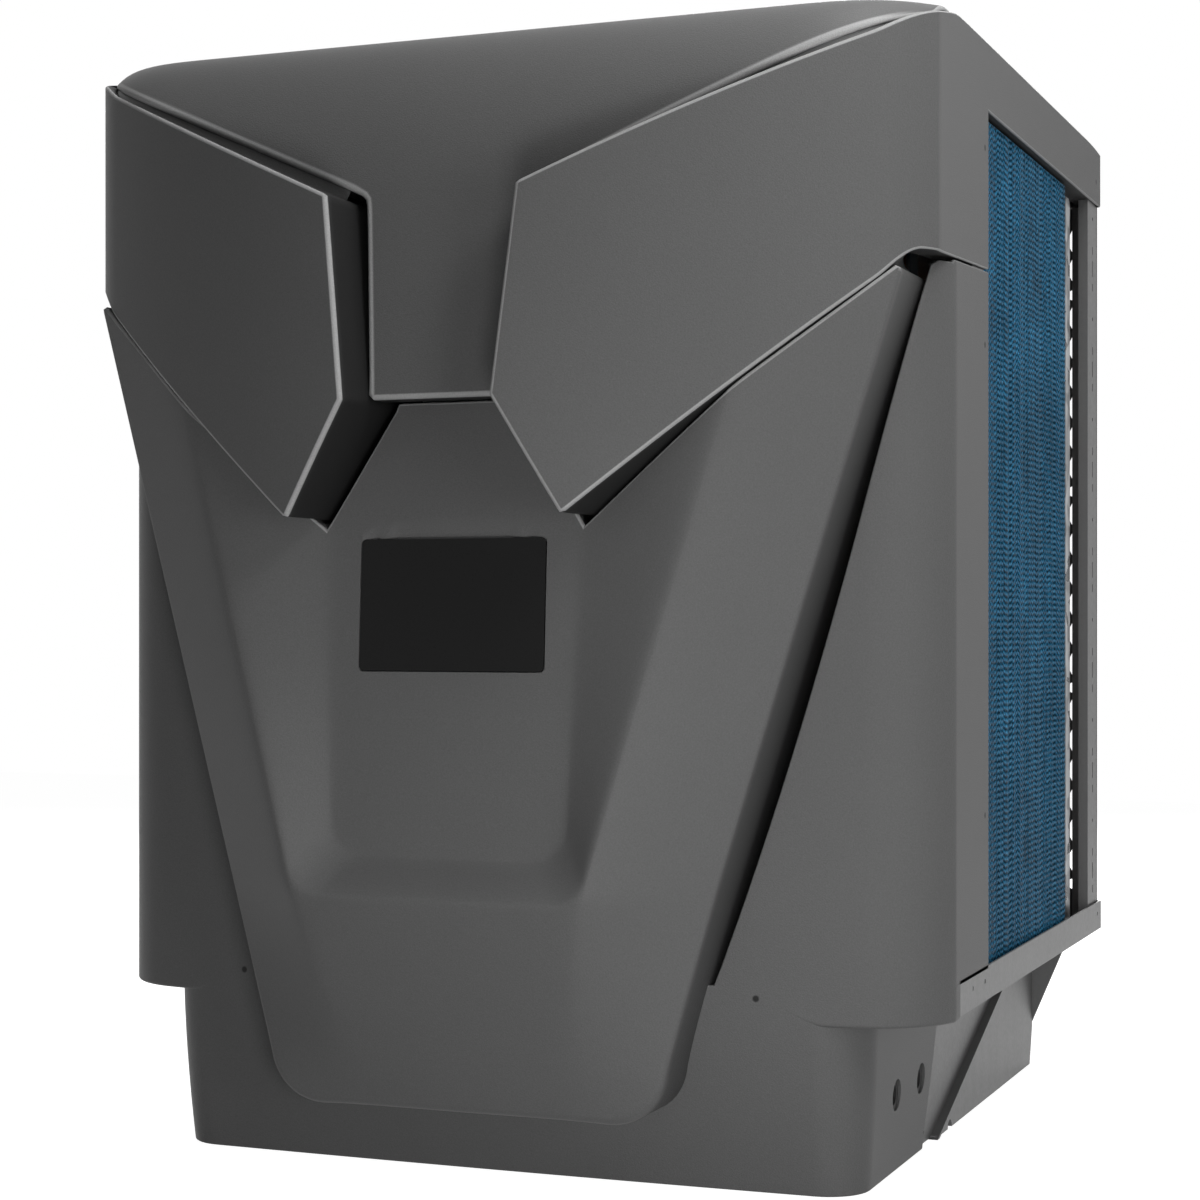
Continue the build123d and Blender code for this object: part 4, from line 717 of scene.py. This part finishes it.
def skirtSurface(t, z):
    # straight blend, level by level, between the plan on the floor and the plan at the top
    ends = []
    for radius, front, half, corner in (skirt["foot"], skirt["top"]):
        ends.append(planPath(np.abs(t), z, (0.0, front + radius, radius), half, corner, skirtRear(z)))
    share = skirtShare(z)[..., None]
    points = ends[0] * (1 - share) + ends[1] * share
    points[..., 0] *= np.sign(t + 1e-12)
    return points


def skirtGrids():
    low = skirt["low"]
    level = chained(easedSteps(8, low, 40), easedSteps(8, 40, 110), easedSteps(14, 110, skirt["high"]))
    t = chained(np.linspace(-3, -2, 12), np.linspace(-2, -1, 22), np.linspace(-1, 1, 60),
                np.linspace(1, 2, 22))
    main = skirtSurface(t[None, :], np.broadcast_to(level[:, None], (len(level), len(t))))
    # right side, with the two cable holes: a square block round each is bent until its middle is a circle
    block, holeZ = skirt["holeBlock"], skirt["holeLevel"]
    sideZ = chained(easedSteps(6, low, holeZ - block), np.linspace(holeZ - block, holeZ + block, 25),
                    easedSteps(12, holeZ + block, skirt["high"]))
    front, rear = skirt["holes"]
    cornerEnd = main[0, -1, 1]
    sideY = chained(easedSteps(8, 0, front - block - cornerEnd) + cornerEnd,
                    np.linspace(front - block, front + block, 25), easedSteps(8, front + block, rear - block),
                    np.linspace(rear - block, rear + block, 25))
    return main, sideY, sideZ


mainSkirt, sideY, sideZ = skirtGrids()


def sideSkirt():
    y, z = np.meshgrid(sideY, sideZ)
    keep = np.ones((len(sideZ) - 1, len(sideY) - 1), bool)
    block, radius = skirt["holeBlock"], skirt["holeRadius"]
    bentY, bentZ = y.copy(), z.copy()
    for hole in skirt["holes"]:
        across, up = (y - hole) / block, (z - skirt["holeLevel"]) / block
        size = np.maximum(np.abs(across), np.abs(up))
        inside = size <= 1.0001
        reach = np.hypot(across, up)
        roundness = 1 - smoothRamp(size, radius / block, 1.0)
        scale = roundness * size / np.maximum(reach, 1e-9) + (1 - roundness)
        bentY = np.where(inside, hole + across * scale * block, bentY)
        bentZ = np.where(inside, skirt["holeLevel"] + up * scale * block, bentZ)
        middleY = (sideY[:-1] + sideY[1:]) / 2 - hole
        middleZ = (sideZ[:-1] + sideZ[1:]) / 2 - skirt["holeLevel"]
        keep &= ~((np.abs(middleZ)[:, None] < radius) & (np.abs(middleY)[None, :] < radius))
    return bentY, bentZ, keep


def sideSkirtPoints():
    y, z, keep = sideSkirt()
    # the corner ends a little further back at the top, and the rear edge leans:
    # the levels are slid to both ends
    first, last = sideY[0], sideY[-1]
    share = skirtShare(z)
    ends = [skirtSurface(np.array(2.0), np.array(level))[1] for level in (0.0, skirt["high"])]
    start = ends[0] * (1 - share) + ends[1] * share
    nearCorner = 1 - smoothRamp(y, first, skirt["holes"][0] - skirt["holeBlock"])
    y = y + (start - first) * nearCorner
    x = skirt["foot"][2] * (1 - share) + skirt["top"][2] * share
    main = stacked(x, y, z)
    # strip from the last column to the leaning rear edge
    startColumn = main[:, -1]
    rear = skirtRear(startColumn[:, 2])
    steps = np.linspace(0, 1, 8)
    stripY = startColumn[:, 1][:, None] + (rear - startColumn[:, 1])[:, None] * steps
    strip = stacked(startColumn[:, 0][:, None], stripY, startColumn[:, 2][:, None])
    return main, keep, strip


sideMain, sideKeep, sideStrip = sideSkirtPoints()
footOut = planOutward(mainSkirt[0])
skirtSheets = [sheet(mainSkirt), sheet(sideMain, keep=sideKeep), sheet(sideStrip)]
skirtSheets.append(sheet(rolledRim(mainSkirt[0], mainSkirt[1], -footOut, skirt["footRim"], 5, 4), flip=True))
for grid in (sideMain, sideStrip):
    skirtSheets.append(sheet(rolledRim(grid[0], grid[1], (-1, 0, 0), skirt["footRim"], 5, 4), flip=True))
skirtSheets.append(sheet(rolledRim(sideStrip[:, -1], sideStrip[:, -2], (-1, 0, 0), 1.5, 5, 4), flip=True))
skirtSheets.append(sheet(rolledRim(mainSkirt[:, 0], mainSkirt[:, 1], (1, 0, 0), 1.5, 5, 4)))
for hole in skirt["holes"]:
    turn = np.linspace(0, 2 * math.pi, 49)[:-1]
    z = skirt["holeLevel"] + skirt["holeRadius"] * np.sin(turn)
    x = skirt["foot"][2] + (skirt["top"][2] - skirt["foot"][2]) * skirtShare(z)
    ring = stacked(x, hole + skirt["holeRadius"] * np.cos(turn), z)
    outerRing = stacked(x, hole + (skirt["holeRadius"] + 1) * np.cos(turn),
                        skirt["holeLevel"] + (skirt["holeRadius"] + 1) * np.sin(turn))
    rim = rolledRim(ring, outerRing, (-1, 0, 0), 0.8, 3, 4, True)
    skirtSheets.append(sheet(np.concatenate([rim, rim[:, :1]], 1)))
skirtPiece = weightedNormals(makePiece("frontSkirt", skirtSheets, coverPlastic))
for piece in (bodyPiece, skirtPiece):
    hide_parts("front_frame")
print("body and skirt:", len(bodyPiece.data.polygons) + len(skirtPiece.data.polygons), "faces")


# ---- hood: a wing wrapped round each front corner, the side behind it and the rail over the window

hood = {
    "lowPlan": (560.0, -471.5, -413.5, -310.5), "highPlan": (1000.0, -448.5, -409.0, -310.5), "wingX": 214.0,
    "corner": 100.0, "turn": 72.0, "split": 318.0,
    "wing": [(86.8, 840.6), (67.9, 668.5), (125.5, 571.4), (389.0, 788.3), (410.0, 790.4), (410.0, 987.5)],
    "sideLow": 790.0, "sideRise": 8.0, "riseFrom": -278.0, "shoulder": (-310.0, 981.0, 0.2043),
    "windowFront": -104.0, "windowTop": 939.5, "top": 998.4, "rearDrop": 3.5, "rearCorner": 5.0,
    "rim": 3.2, "sideRim": 1.4, "wallTo": -298.0,
}
wingInset = insetOutline(hood["wing"], 0.85 * hood["rim"])


def hoodArc(z):
    # front arc in plan at a level: the circle through three points that lean with height
    share = (z - hood["lowPlan"][0]) / (hood["highPlan"][0] - hood["lowPlan"][0])
    middle, wing, side = [a + (b - a) * share for a, b in zip(hood["lowPlan"][1:], hood["highPlan"][1:])]
    x1, y1, x2, y2 = hood["wingX"], wing - middle, cabinet["halfWidth"], side - middle
    across, area = 2 * (x1 * y2 - x2 * y1), x1 ** 2 + y1 ** 2
    centreX = (area * y2 - (x2 ** 2 + y2 ** 2) * y1) / across
    centreY = (x1 * (x2 ** 2 + y2 ** 2) - x2 * area) / across
    return centreX, centreY + middle, np.hypot(centreX, centreY)


def wingLow(x):
    low = np.interp(x, wingInset[1:4, 0], wingInset[1:4, 1])
    return np.minimum(low, hood["sideLow"] + 1.5)


def wingHigh(x):
    (x0, z0), (x1, z1) = wingInset[0], wingInset[5]
    return z0 + (x - x0) * (z1 - z0) / (x1 - x0)


def railTop(y):
    # level of the top edge along the side: it rises behind the corner, runs level and droops at the rear
    start, level, slope = hood["shoulder"]
    rising = softMin(level + (y - start) * slope, hood["top"], 2.5)
    return rising - hood["rearDrop"] * np.clip((y - 380) / 77.5, 0, 1) ** 2


def sideLowEdge(y):
    run = hood["windowFront"] - hood["riseFrom"]
    return hood["sideLow"] + hood["sideRim"] + hood["sideRise"] * np.clip((y - hood["riseFrom"]) / run, 0, 1)


lastLow, lastTop = sideLowEdge(hood["windowFront"]), railTop(hood["windowFront"])
windowShare = (hood["windowTop"] + hood["sideRim"] - lastLow) / (lastTop - lastLow)
hoodUp = chained(easedSteps(12, 0, windowShare), easedSteps(6, windowShare, 1))
windowRow = 11


def wingGrid():
    # columns are straight lines in front view, fanned between the inner edge and the upright ones
    columns = chained(easedSteps(12, wingInset[1, 0], wingInset[2, 0]),
                      easedSteps(34, wingInset[2, 0], hood["split"]))
    start, lean = wingInset[1, 0], wingInset[0, 0] - wingInset[1, 0]
    topX = columns + lean * (1 - (columns - start) / (hood["split"] - start))
    x = columns + (topX - columns) * hoodUp[:, None]
    z = wingLow(columns) + (wingHigh(topX) - wingLow(columns)) * hoodUp[:, None]
    centreX, centreY, radius = hoodArc(z)
    return stacked(x, centreY - np.sqrt(radius ** 2 - (x - centreX) ** 2), z)


def cornerGrid():
    # round the corner and along the side; the levels depend on the plan and the plan on the levels,
    # so both are worked out in turn a few times
    share = chained(easedSteps(12, 0, 1), np.linspace(1, 2, 24), np.linspace(2, 3, 20))[None, :]
    z = 790 + 190 * hoodUp[:, None] + 0 * share
    for _ in range(6):
        arc = hoodArc(z)
        first = pathAcross(hood["split"], arc, cabinet["halfWidth"], hood["corner"], hood["turn"])
        t = np.where(share < 1, first + (1 - first) * share, share)
        points = planPath(t, z, arc, cabinet["halfWidth"], hood["corner"], hood["windowFront"], hood["turn"])
        x, y = points[..., 0], points[..., 1]
        onSide = smoothRamp(t, 1.0, 2.0)
        low = wingLow(x) * (1 - onSide) + sideLowEdge(y) * onSide
        high = wingHigh(x) * (1 - onSide) + railTop(y) * onSide
        z = low + (high - low) * hoodUp[:, None]
    return points, t


def railGrid():
    # rail over the window, round the small rear corner and across the back to the middle plane
    corner, half, rear = hood["rearCorner"], cabinet["halfWidth"], cabinet["rear"]
    turn = np.linspace(0, math.pi / 2, 9)
    x = np.concatenate([np.full(30, half), half - corner + corner * np.cos(turn[1:]),
                        np.linspace(half - corner, 0, 16)[1:]])
    y = np.concatenate([np.linspace(hood["windowFront"], rear - corner, 30),
                        rear - corner + corner * np.sin(turn[1:]),
                        np.full(15, rear)])
    low, high = hood["windowTop"] + hood["sideRim"], railTop(y)
    share = (hoodUp[windowRow:] - hoodUp[windowRow]) / (1 - hoodUp[windowRow])
    return stacked(x, y, low + (high - low) * share[:, None])


wingPoints, (cornerPoints, cornerT), railPoints = wingGrid(), cornerGrid(), railGrid()
hoodFront = np.concatenate([wingPoints, cornerPoints[:, 1:]], 1)
hoodT = np.concatenate([np.zeros(wingPoints.shape[:2]), cornerT[:, 1:]], 1)


def hoodOutline():
    # the free edge as one line, anticlockwise seen from outside: from the middle of the back along the
    # top, down the inner edge, along the bottom, up the front of the window and back over it
    runs = [
        (railPoints[-1, ::-1], railPoints[-2, ::-1], 3), (hoodFront[-1, -2:0:-1], hoodFront[-2, -2:0:-1],
                                                          hoodT[-1, -2:0:-1]),
        (hoodFront[:0:-1, 0], hoodFront[:0:-1, 1], 0), (hoodFront[0, :-1], hoodFront[1, :-1], hoodT[0, :-1]),
        (hoodFront[:windowRow, -1], hoodFront[:windowRow, -2], 4), (railPoints[0], railPoints[1], 5),
    ]
    edge = np.concatenate([run[0] for run in runs])
    inner = np.concatenate([run[1] for run in runs])
    kind = np.concatenate([np.broadcast_to(run[2], len(run[0])) for run in runs]).astype(float)
    return edge, inner, kind


hoodEdge, hoodInner, hoodKind = hoodOutline()
onSide = smoothRamp(hoodKind, 1.1, 2.0)
atBack = smoothRamp(hoodEdge[:, 1], cabinet["rear"] - 6, cabinet["rear"] - 1)
hoodInward = unit(stacked(-onSide * (1 - atBack), (1 - onSide) - atBack, 0 * onSide))
depth = np.maximum(hood["wallTo"] - hoodEdge[:, 1], 12)
depth += 60 * smoothRamp(hoodEdge[:, 0], 280, 330) * (hoodEdge[:, 2] < 850)
onTop = (hoodEdge[:, 2] > 960) & (onSide > 0.5)
wallLength = depth * (1 - onSide) + np.where(onTop, 1.6, 22.0) * onSide
wallLength += 34 * smoothRamp(hoodKind, 1.0,
                              1.6) * (1 - smoothRamp(hoodKind, 1.7, 2.1)) * (hoodEdge[:, 2] < 850)
hoodRadius = hood["rim"] + (hood["sideRim"] - hood["rim"]) * onSide
hoodRim = rolledRim(hoodEdge, hoodInner, hoodInward, hoodRadius, wallLength, 6)
# the hood's rim gets painted highlight and the walls behind it painted shade
hoodPiece = weightedNormals(makePiece("hoodShell", bothSides(
    sheet(hoodFront), sheet(railPoints), rimSheet(hoodRim, flip=True)), coverPlastic))
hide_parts("hood_cover")
print("hood:", len(hoodPiece.data.polygons), "faces")


# ---- lid: leaning front between the wings, a brow that spreads over them and the flat top

lid = {
    "low": (-404.0, 677.0), "break": (-392.0, 849.0), "flat": (-293.0,
                                                               1000.0), "fullness": 0.55, "rear": 453.0,
    "halfLow": 66.0, "halfBreak": 74.0, "spread": 2.269, "halfTop": 393.3, "neckRound": 7.0,
    "sweep": (270.0, 58.0, 3.4), "rim": 3.4, "footRim": 4.5, "wall": 24.0,
    "lip": 20.0, "lipDepth": 6.0, "lineWidth": (1.2, 3.0),
}


def lidProfile(s):
    # side view: 0..1 up the leaning front, 1..2 along a cubic Bezier over the brow, 2..3 along the flat
    (y0, z0), (y1, z1), (y2, z2) = lid["low"], lid["break"], lid["flat"]
    cornerY = y1 + (y1 - y0) / (z1 - z0) * (z2 - z1)
    b = np.clip(s - 1, 0, 1)
    full = lid["fullness"]
    handles = [(y1, z1), (y1 + (cornerY - y1) * full, z1 + (z2 - z1) * full),
               (y2 + (cornerY - y2) * full, z2), (y2, z2)]
    weights = [(1 - b) ** 3, 3 * b * (1 - b) ** 2, 3 * b ** 2 * (1 - b), b ** 3]
    y = sum(w * h[0] for w, h in zip(weights, handles))
    z = sum(w * h[1] for w, h in zip(weights, handles))
    lean = np.clip(s, 0, 1)
    return np.where(s < 1, y0 + (y1 - y0) * lean, y), np.where(s < 1, z0 + (z1 - z0) * lean, z)


def lidHalf(z):
    # half width of the lid at a level: narrow between the wings, then opening along their top edges
    narrow = (lid["halfLow"] + (z - lid["low"][1]) * (lid["halfBreak"] - lid["halfLow"])
              / (lid["break"][1] - lid["low"][1]))
    wide = lid["halfBreak"] + (z - lid["break"][1]) * lid["spread"]
    return softMin(softMax(narrow, wide, lid["neckRound"]), lid["halfTop"], 3.0) - lid["rim"] * 0.8


def lidPaintedEdgeHighlight(points):
    # painted highlight that lightens the lid's surface along its free edges, over a few millimetres
    x, z = np.abs(points[..., 0]), points[..., 2]
    slant = smoothRamp(z, lid["break"][1] - 4, lid["break"][1] + 8)
    away = (lidHalf(z) - x) * (1 - 0.6 * slant)
    low, high = lid["lineWidth"]
    return smoothRamp(-away, -high, -low) * (1 - smoothRamp(z, 975, 988))


def lidGrid():
    s = chained(easedSteps(10, 0, 0.9), np.linspace(0.9, 1.3, 16), np.linspace(1.3, 2, 34),
                2 + easedSteps(16) ** 1.5)
    across = easedSteps(61, -1, 1)
    y, z = lidProfile(s)
    start, reach, power = lid["sweep"]
    x = lidHalf(z)[:, None] * across
    swept = reach * np.clip((np.abs(x) - start) / (cabinet["halfWidth"] - start), 0, 1) ** power
    flat = np.clip(s - 2, 0, 1)[:, None]
    y = np.where(flat > 0, lid["flat"][0] + swept + (lid["rear"] - lid["flat"][0] - swept) * flat,
                 y[:, None] + swept)
    return stacked(x, y, z[:, None])


lidPoints = lidGrid()
lidPoints[..., 2] -= 0.2
lidEdge, lidInner = loopAround(lidPoints)
lidFlat = smoothRamp(lidEdge[:, 2], 985, 999.5)
atFoot = smoothRamp(lidEdge[:, 2], 684, 680)
lidInward = unit(stacked(0 * lidFlat, 1 - lidFlat, -lidFlat))
lidRadius = lid["rim"] + (lid["footRim"] - lid["rim"]) * atFoot
lidRim = rolledRim(lidEdge, lidInner, lidInward, lidRadius, lid["wall"] + (8 - lid["wall"]) * lidFlat, 6,
                   True)


def lidFlange():
    # narrow lip that runs on outwards behind the rim, along the slanted edges over the wings
    onWing = ((lidEdge[:, 2] > lid["break"][1] + 4) & (lidEdge[:, 2] < 985)
              & (lidInner[:, 1] < lid["flat"][0] + 40))
    along = unit(np.roll(lidEdge, -1, 0) - np.roll(lidEdge, 1, 0))
    out = lidEdge - lidInner
    out = unit(out - (out * along).sum(-1, keepdims=True) * along)
    start = lidEdge - 3 * out + lidInward * lid["lipDepth"]
    return [sheet(np.stack([(start + out * k * lid["lip"] / 3)[onWing & side] for k in range(4)]), flip=True)
            for side in (lidEdge[:, 0] > 0, lidEdge[:, 0] < 0)]


lidRim = np.concatenate([lidRim, lidRim[:, :1]], 1)
# the lid's edges and rim get painted highlight, and the wall behind the rim painted shade
lidPiece = weightedNormals(makePiece("lidShell", [
    sheet(lidPoints, edge=lidPaintedEdgeHighlight(lidPoints)),
    rimSheet(lidRim, flip=True, first=lidPaintedEdgeHighlight(lidRim[0]))] + lidFlange(), coverPlastic))
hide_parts("lid")
print("lid:", len(lidPiece.data.polygons), "faces")


# ---- coils: thin rippled fins between the end plates, one piece for each half of a coil

coil = {
    "inner": 334.0, "outer": 391.0, "front": -96.0, "rear": 348.0, "low": 154.5, "high": 936.5,
    "endBend": (284.0, 13.0), "fins": 148, "ripple": 5.6, "lip": 1.3, "lipSwing": 0.75, "bow": 0.35,
    "seed": 7,
}


def finGrid(numbers, side):
    # Each fin is an upright plate with a narrow folded lip towards the outside. The lip's width rises and
    # falls along the height as a cosine, and the plate bows a little from side to side. Position, lip and
    # phase differ from fin to fin by a smooth random walk plus small noise, which groups them in streaks.
    rng = np.random.default_rng(coil["seed"] + (side > 0))
    count = coil["fins"]
    walk = np.convolve(rng.normal(0, 1, count + 8), np.hanning(7)[1:-1] / 2.5, "valid")[:count]
    noise = rng.normal(0, 1, count)
    pitch = (coil["rear"] - coil["front"]) / (count - 1)
    y = coil["front"] + pitch * np.arange(count) + 0.28 * walk + 0.12 * noise
    lip = coil["lip"] * (1 + 0.22 * walk + 0.1 * noise)
    phase = 0.9 * walk + 0.5 * noise
    z = np.arange(coil["low"], coil["high"], coil["ripple"] / 4)
    wave = np.cos(2 * math.pi * z[:, None] / coil["ripple"] + phase[numbers])
    bow = coil["bow"] * np.sin(2 * math.pi * z[:, None] / (7.3 * coil["ripple"]) + 3 * noise[numbers])
    width = lip[numbers] + coil["lipSwing"] * wave
    base = y[numbers] + bow
    # the pack bends inwards a little towards its rear end
    bendFrom, bendDepth = coil["endBend"]
    reach = coil["outer"] - bendDepth * np.clip((base - bendFrom) / (coil["rear"] - bendFrom), 0, 1)
    inner = stacked(side * coil["inner"], base, z[:, None])
    outer = stacked(side * reach, base, z[:, None])
    folded = stacked(side * (reach - 0.15), base + width, z[:, None])
    return np.stack([inner, outer, folded], 2)


def finPiece(name, numbers, side):
    grid = finGrid(numbers, side)
    sheets = [sheet(grid[:, k], flip=side < 0) for k in range(len(numbers))]
    piece = makePiece(name, sheets, finishes["coated_fins"], creaseAngle=30, weld=0)
    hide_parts("coil_fins_right" if side > 0 else "coil_fins_left")
    return piece


halves = np.array_split(np.arange(coil["fins"]), 2)
finPieces = [finPiece(name, numbers, side) for name, numbers, side in (
    ("finsRightFront", halves[0], 1), ("finsRightRear", halves[1], 1),
    ("finsLeftFront", halves[0], -1), ("finsLeftRear", halves[1], -1))]
print("fins:", sum(len(piece.data.polygons) for piece in finPieces), "faces")


# ---- dark closing plate of the stand, in front of the sloping rib

closing = {"outer": 321.0, "front": -58.0, "low": (-10.0, 1.0), "high": (398.0, 143.0), "top": 146.0,
           "thick": 2.0}


def closingSheets():
    # a triangle of sheet metal, as rows of points from the front edge to the slope behind it
    z = np.linspace(closing["low"][1], closing["top"], 12)
    slope = np.interp(z, (closing["low"][1], closing["high"][1]), (closing["low"][0], closing["high"][0]))
    y = closing["front"] + (slope - closing["front"])[:, None] * np.linspace(0, 1, 12)
    outside = stacked(closing["outer"], y, z[:, None])
    inside = outside - [closing["thick"], 0, 0]
    edge, inner = loopAround(outside)
    rim = np.stack([edge, edge - [closing["thick"], 0, 0]])
    return sheet(outside), sheet(inside, flip=True), sheet(np.concatenate([rim, rim[:, :1]], 1), flip=True)


closingPiece = makePiece("standClosing", bothSides(*closingSheets()), finishes["post_steel"], creaseAngle=30)
print("closing plate:", len(closingPiece.data.polygons), "faces")


# ---- camera, floor and light

def toFrame(x, y, z):
    return (x * millimetre, (y + frameShift) * millimetre, z * millimetre)


def addObject(name, data, place=(0, 0, 0), turn=(0, 0, 0)):
    item = bpy.data.objects.new(name, data)
    item.location, item.rotation_euler = place, turn
    bpy.context.scene.collection.objects.link(item)
    return item


view = {"place": (889.0, -2304.4, 484.0), "turn": 21.38, "lens": 75.09, "sensor": 36.0, "far": 50.0,
        "shiftX": -0.0011, "shiftY": 0.0185}
cameraData = bpy.data.cameras.new("camera")
cameraData.lens, cameraData.sensor_width = view["lens"], view["sensor"]
cameraData.shift_x, cameraData.shift_y = view["shiftX"], view["shiftY"]
cameraData.clip_end = view["far"]
bpy.context.scene.camera = addObject("camera", cameraData, toFrame(*view["place"]),
                                     (math.pi / 2, 0, math.radians(view["turn"])))

# azimuth 0 is in front of the cabinet and 90 to its right; rise is the height angle, both in degrees
lamps = {
    "key": {"azimuth": 55, "rise": 5, "away": 3.2, "size": 1.0, "watts": 10.0},
    "low": {"azimuth": 50, "rise": -8, "away": 2.6, "size": 0.6, "watts": 6.5},
    "nearHigh": {"azimuth": 50, "rise": 40, "away": 1.6, "size": 0.5, "watts": 6.0},
    "nearLow": {"azimuth": 20, "rise": -15, "away": 1.5, "size": 0.4, "watts": 6.5},
    "top": {"azimuth": 60, "rise": 70, "away": 1.8, "size": 0.6, "watts": 13.0},
    "rear": {"azimuth": -172, "rise": 22, "away": 3.2, "size": 1.2, "watts": 75.0},
    "rearLeft": {"azimuth": -145, "rise": 15, "away": 3.2, "size": 1.2, "watts": 75.0},
}
studio = {"ambient": 0.035, "aim": 0.5, "floorSize": 9.0, "floorTone": 0.35, "floorRough": 0.9,
          "floorLift": 0.975}


def addLamp(name, lamp):
    azimuth, rise = math.radians(lamp["azimuth"]), math.radians(lamp["rise"])
    data = bpy.data.lights.new(name, "AREA")
    data.size, data.energy = lamp["size"], lamp["watts"]
    away = lamp["away"]
    place = (away * math.cos(rise) * math.sin(azimuth), -away * math.cos(rise) * math.cos(azimuth),
             studio["aim"] + away * math.sin(rise))
    return addObject(name, data, place, (math.pi / 2 - rise, 0, azimuth))


for lampName, lamp in lamps.items():
    addLamp(lampName, lamp)


def seenDirectly(tree):
    # 1 for rays from the camera, off a glossy surface or through glass
    rays = addNode(tree, "LightPath")
    first = addNode(tree, "Math", {0: rays.outputs["Is Camera Ray"], 1: rays.outputs["Is Glossy Ray"]},
                    operation="MAXIMUM")
    return addNode(tree, "Math", {0: first.outputs[0], 1: rays.outputs["Is Transmission Ray"]},
                   operation="MAXIMUM").outputs[0]


def studioFloor():
    # pale floor that keeps the object's shadow; seen directly it is lifted to white by its own glow
    half = studio["floorSize"] / 2
    mesh = bpy.data.meshes.new("floor")
    mesh.from_pydata([(-half, -half, 0), (half, -half, 0), (half, half, 0), (-half, half, 0)], [],
                     [(0, 1, 2, 3)])
    material = bpy.data.materials.new("paleFloor")
    material.use_nodes = True
    tree = material.node_tree
    shader = tree.nodes["Principled BSDF"]
    shader.inputs["Base Color"].default_value = (*[studio["floorTone"]] * 3, 1)
    shader.inputs["Roughness"].default_value = studio["floorRough"]
    shader.inputs["Specular IOR Level"].default_value = 0.0
    shader.inputs["Emission Color"].default_value = (1, 1, 1, 1)
    glow = addNode(tree, "Math", {0: seenDirectly(tree), 1: studio["floorLift"]}, operation="MULTIPLY")
    tree.links.new(glow.outputs[0], shader.inputs["Emission Strength"])
    mesh.materials.append(material)
    return addObject("floor", mesh)


studioFloor()
world = bpy.data.worlds.new("studio")
world.use_nodes = True
bpy.context.scene.world = world
worldTree = world.node_tree
strength = addNode(worldTree, "MapRange", {"Value": seenDirectly(worldTree), "To Min": studio["ambient"],
                                           "To Max": 1.0})
worldTree.nodes["Background"].inputs["Color"].default_value = (1, 1, 1, 1)
worldTree.links.new(strength.outputs[0], worldTree.nodes["Background"].inputs["Strength"])
bpy.context.scene.view_settings.view_transform = "Standard"
print("studio ready:", len(lamps), "lamps")
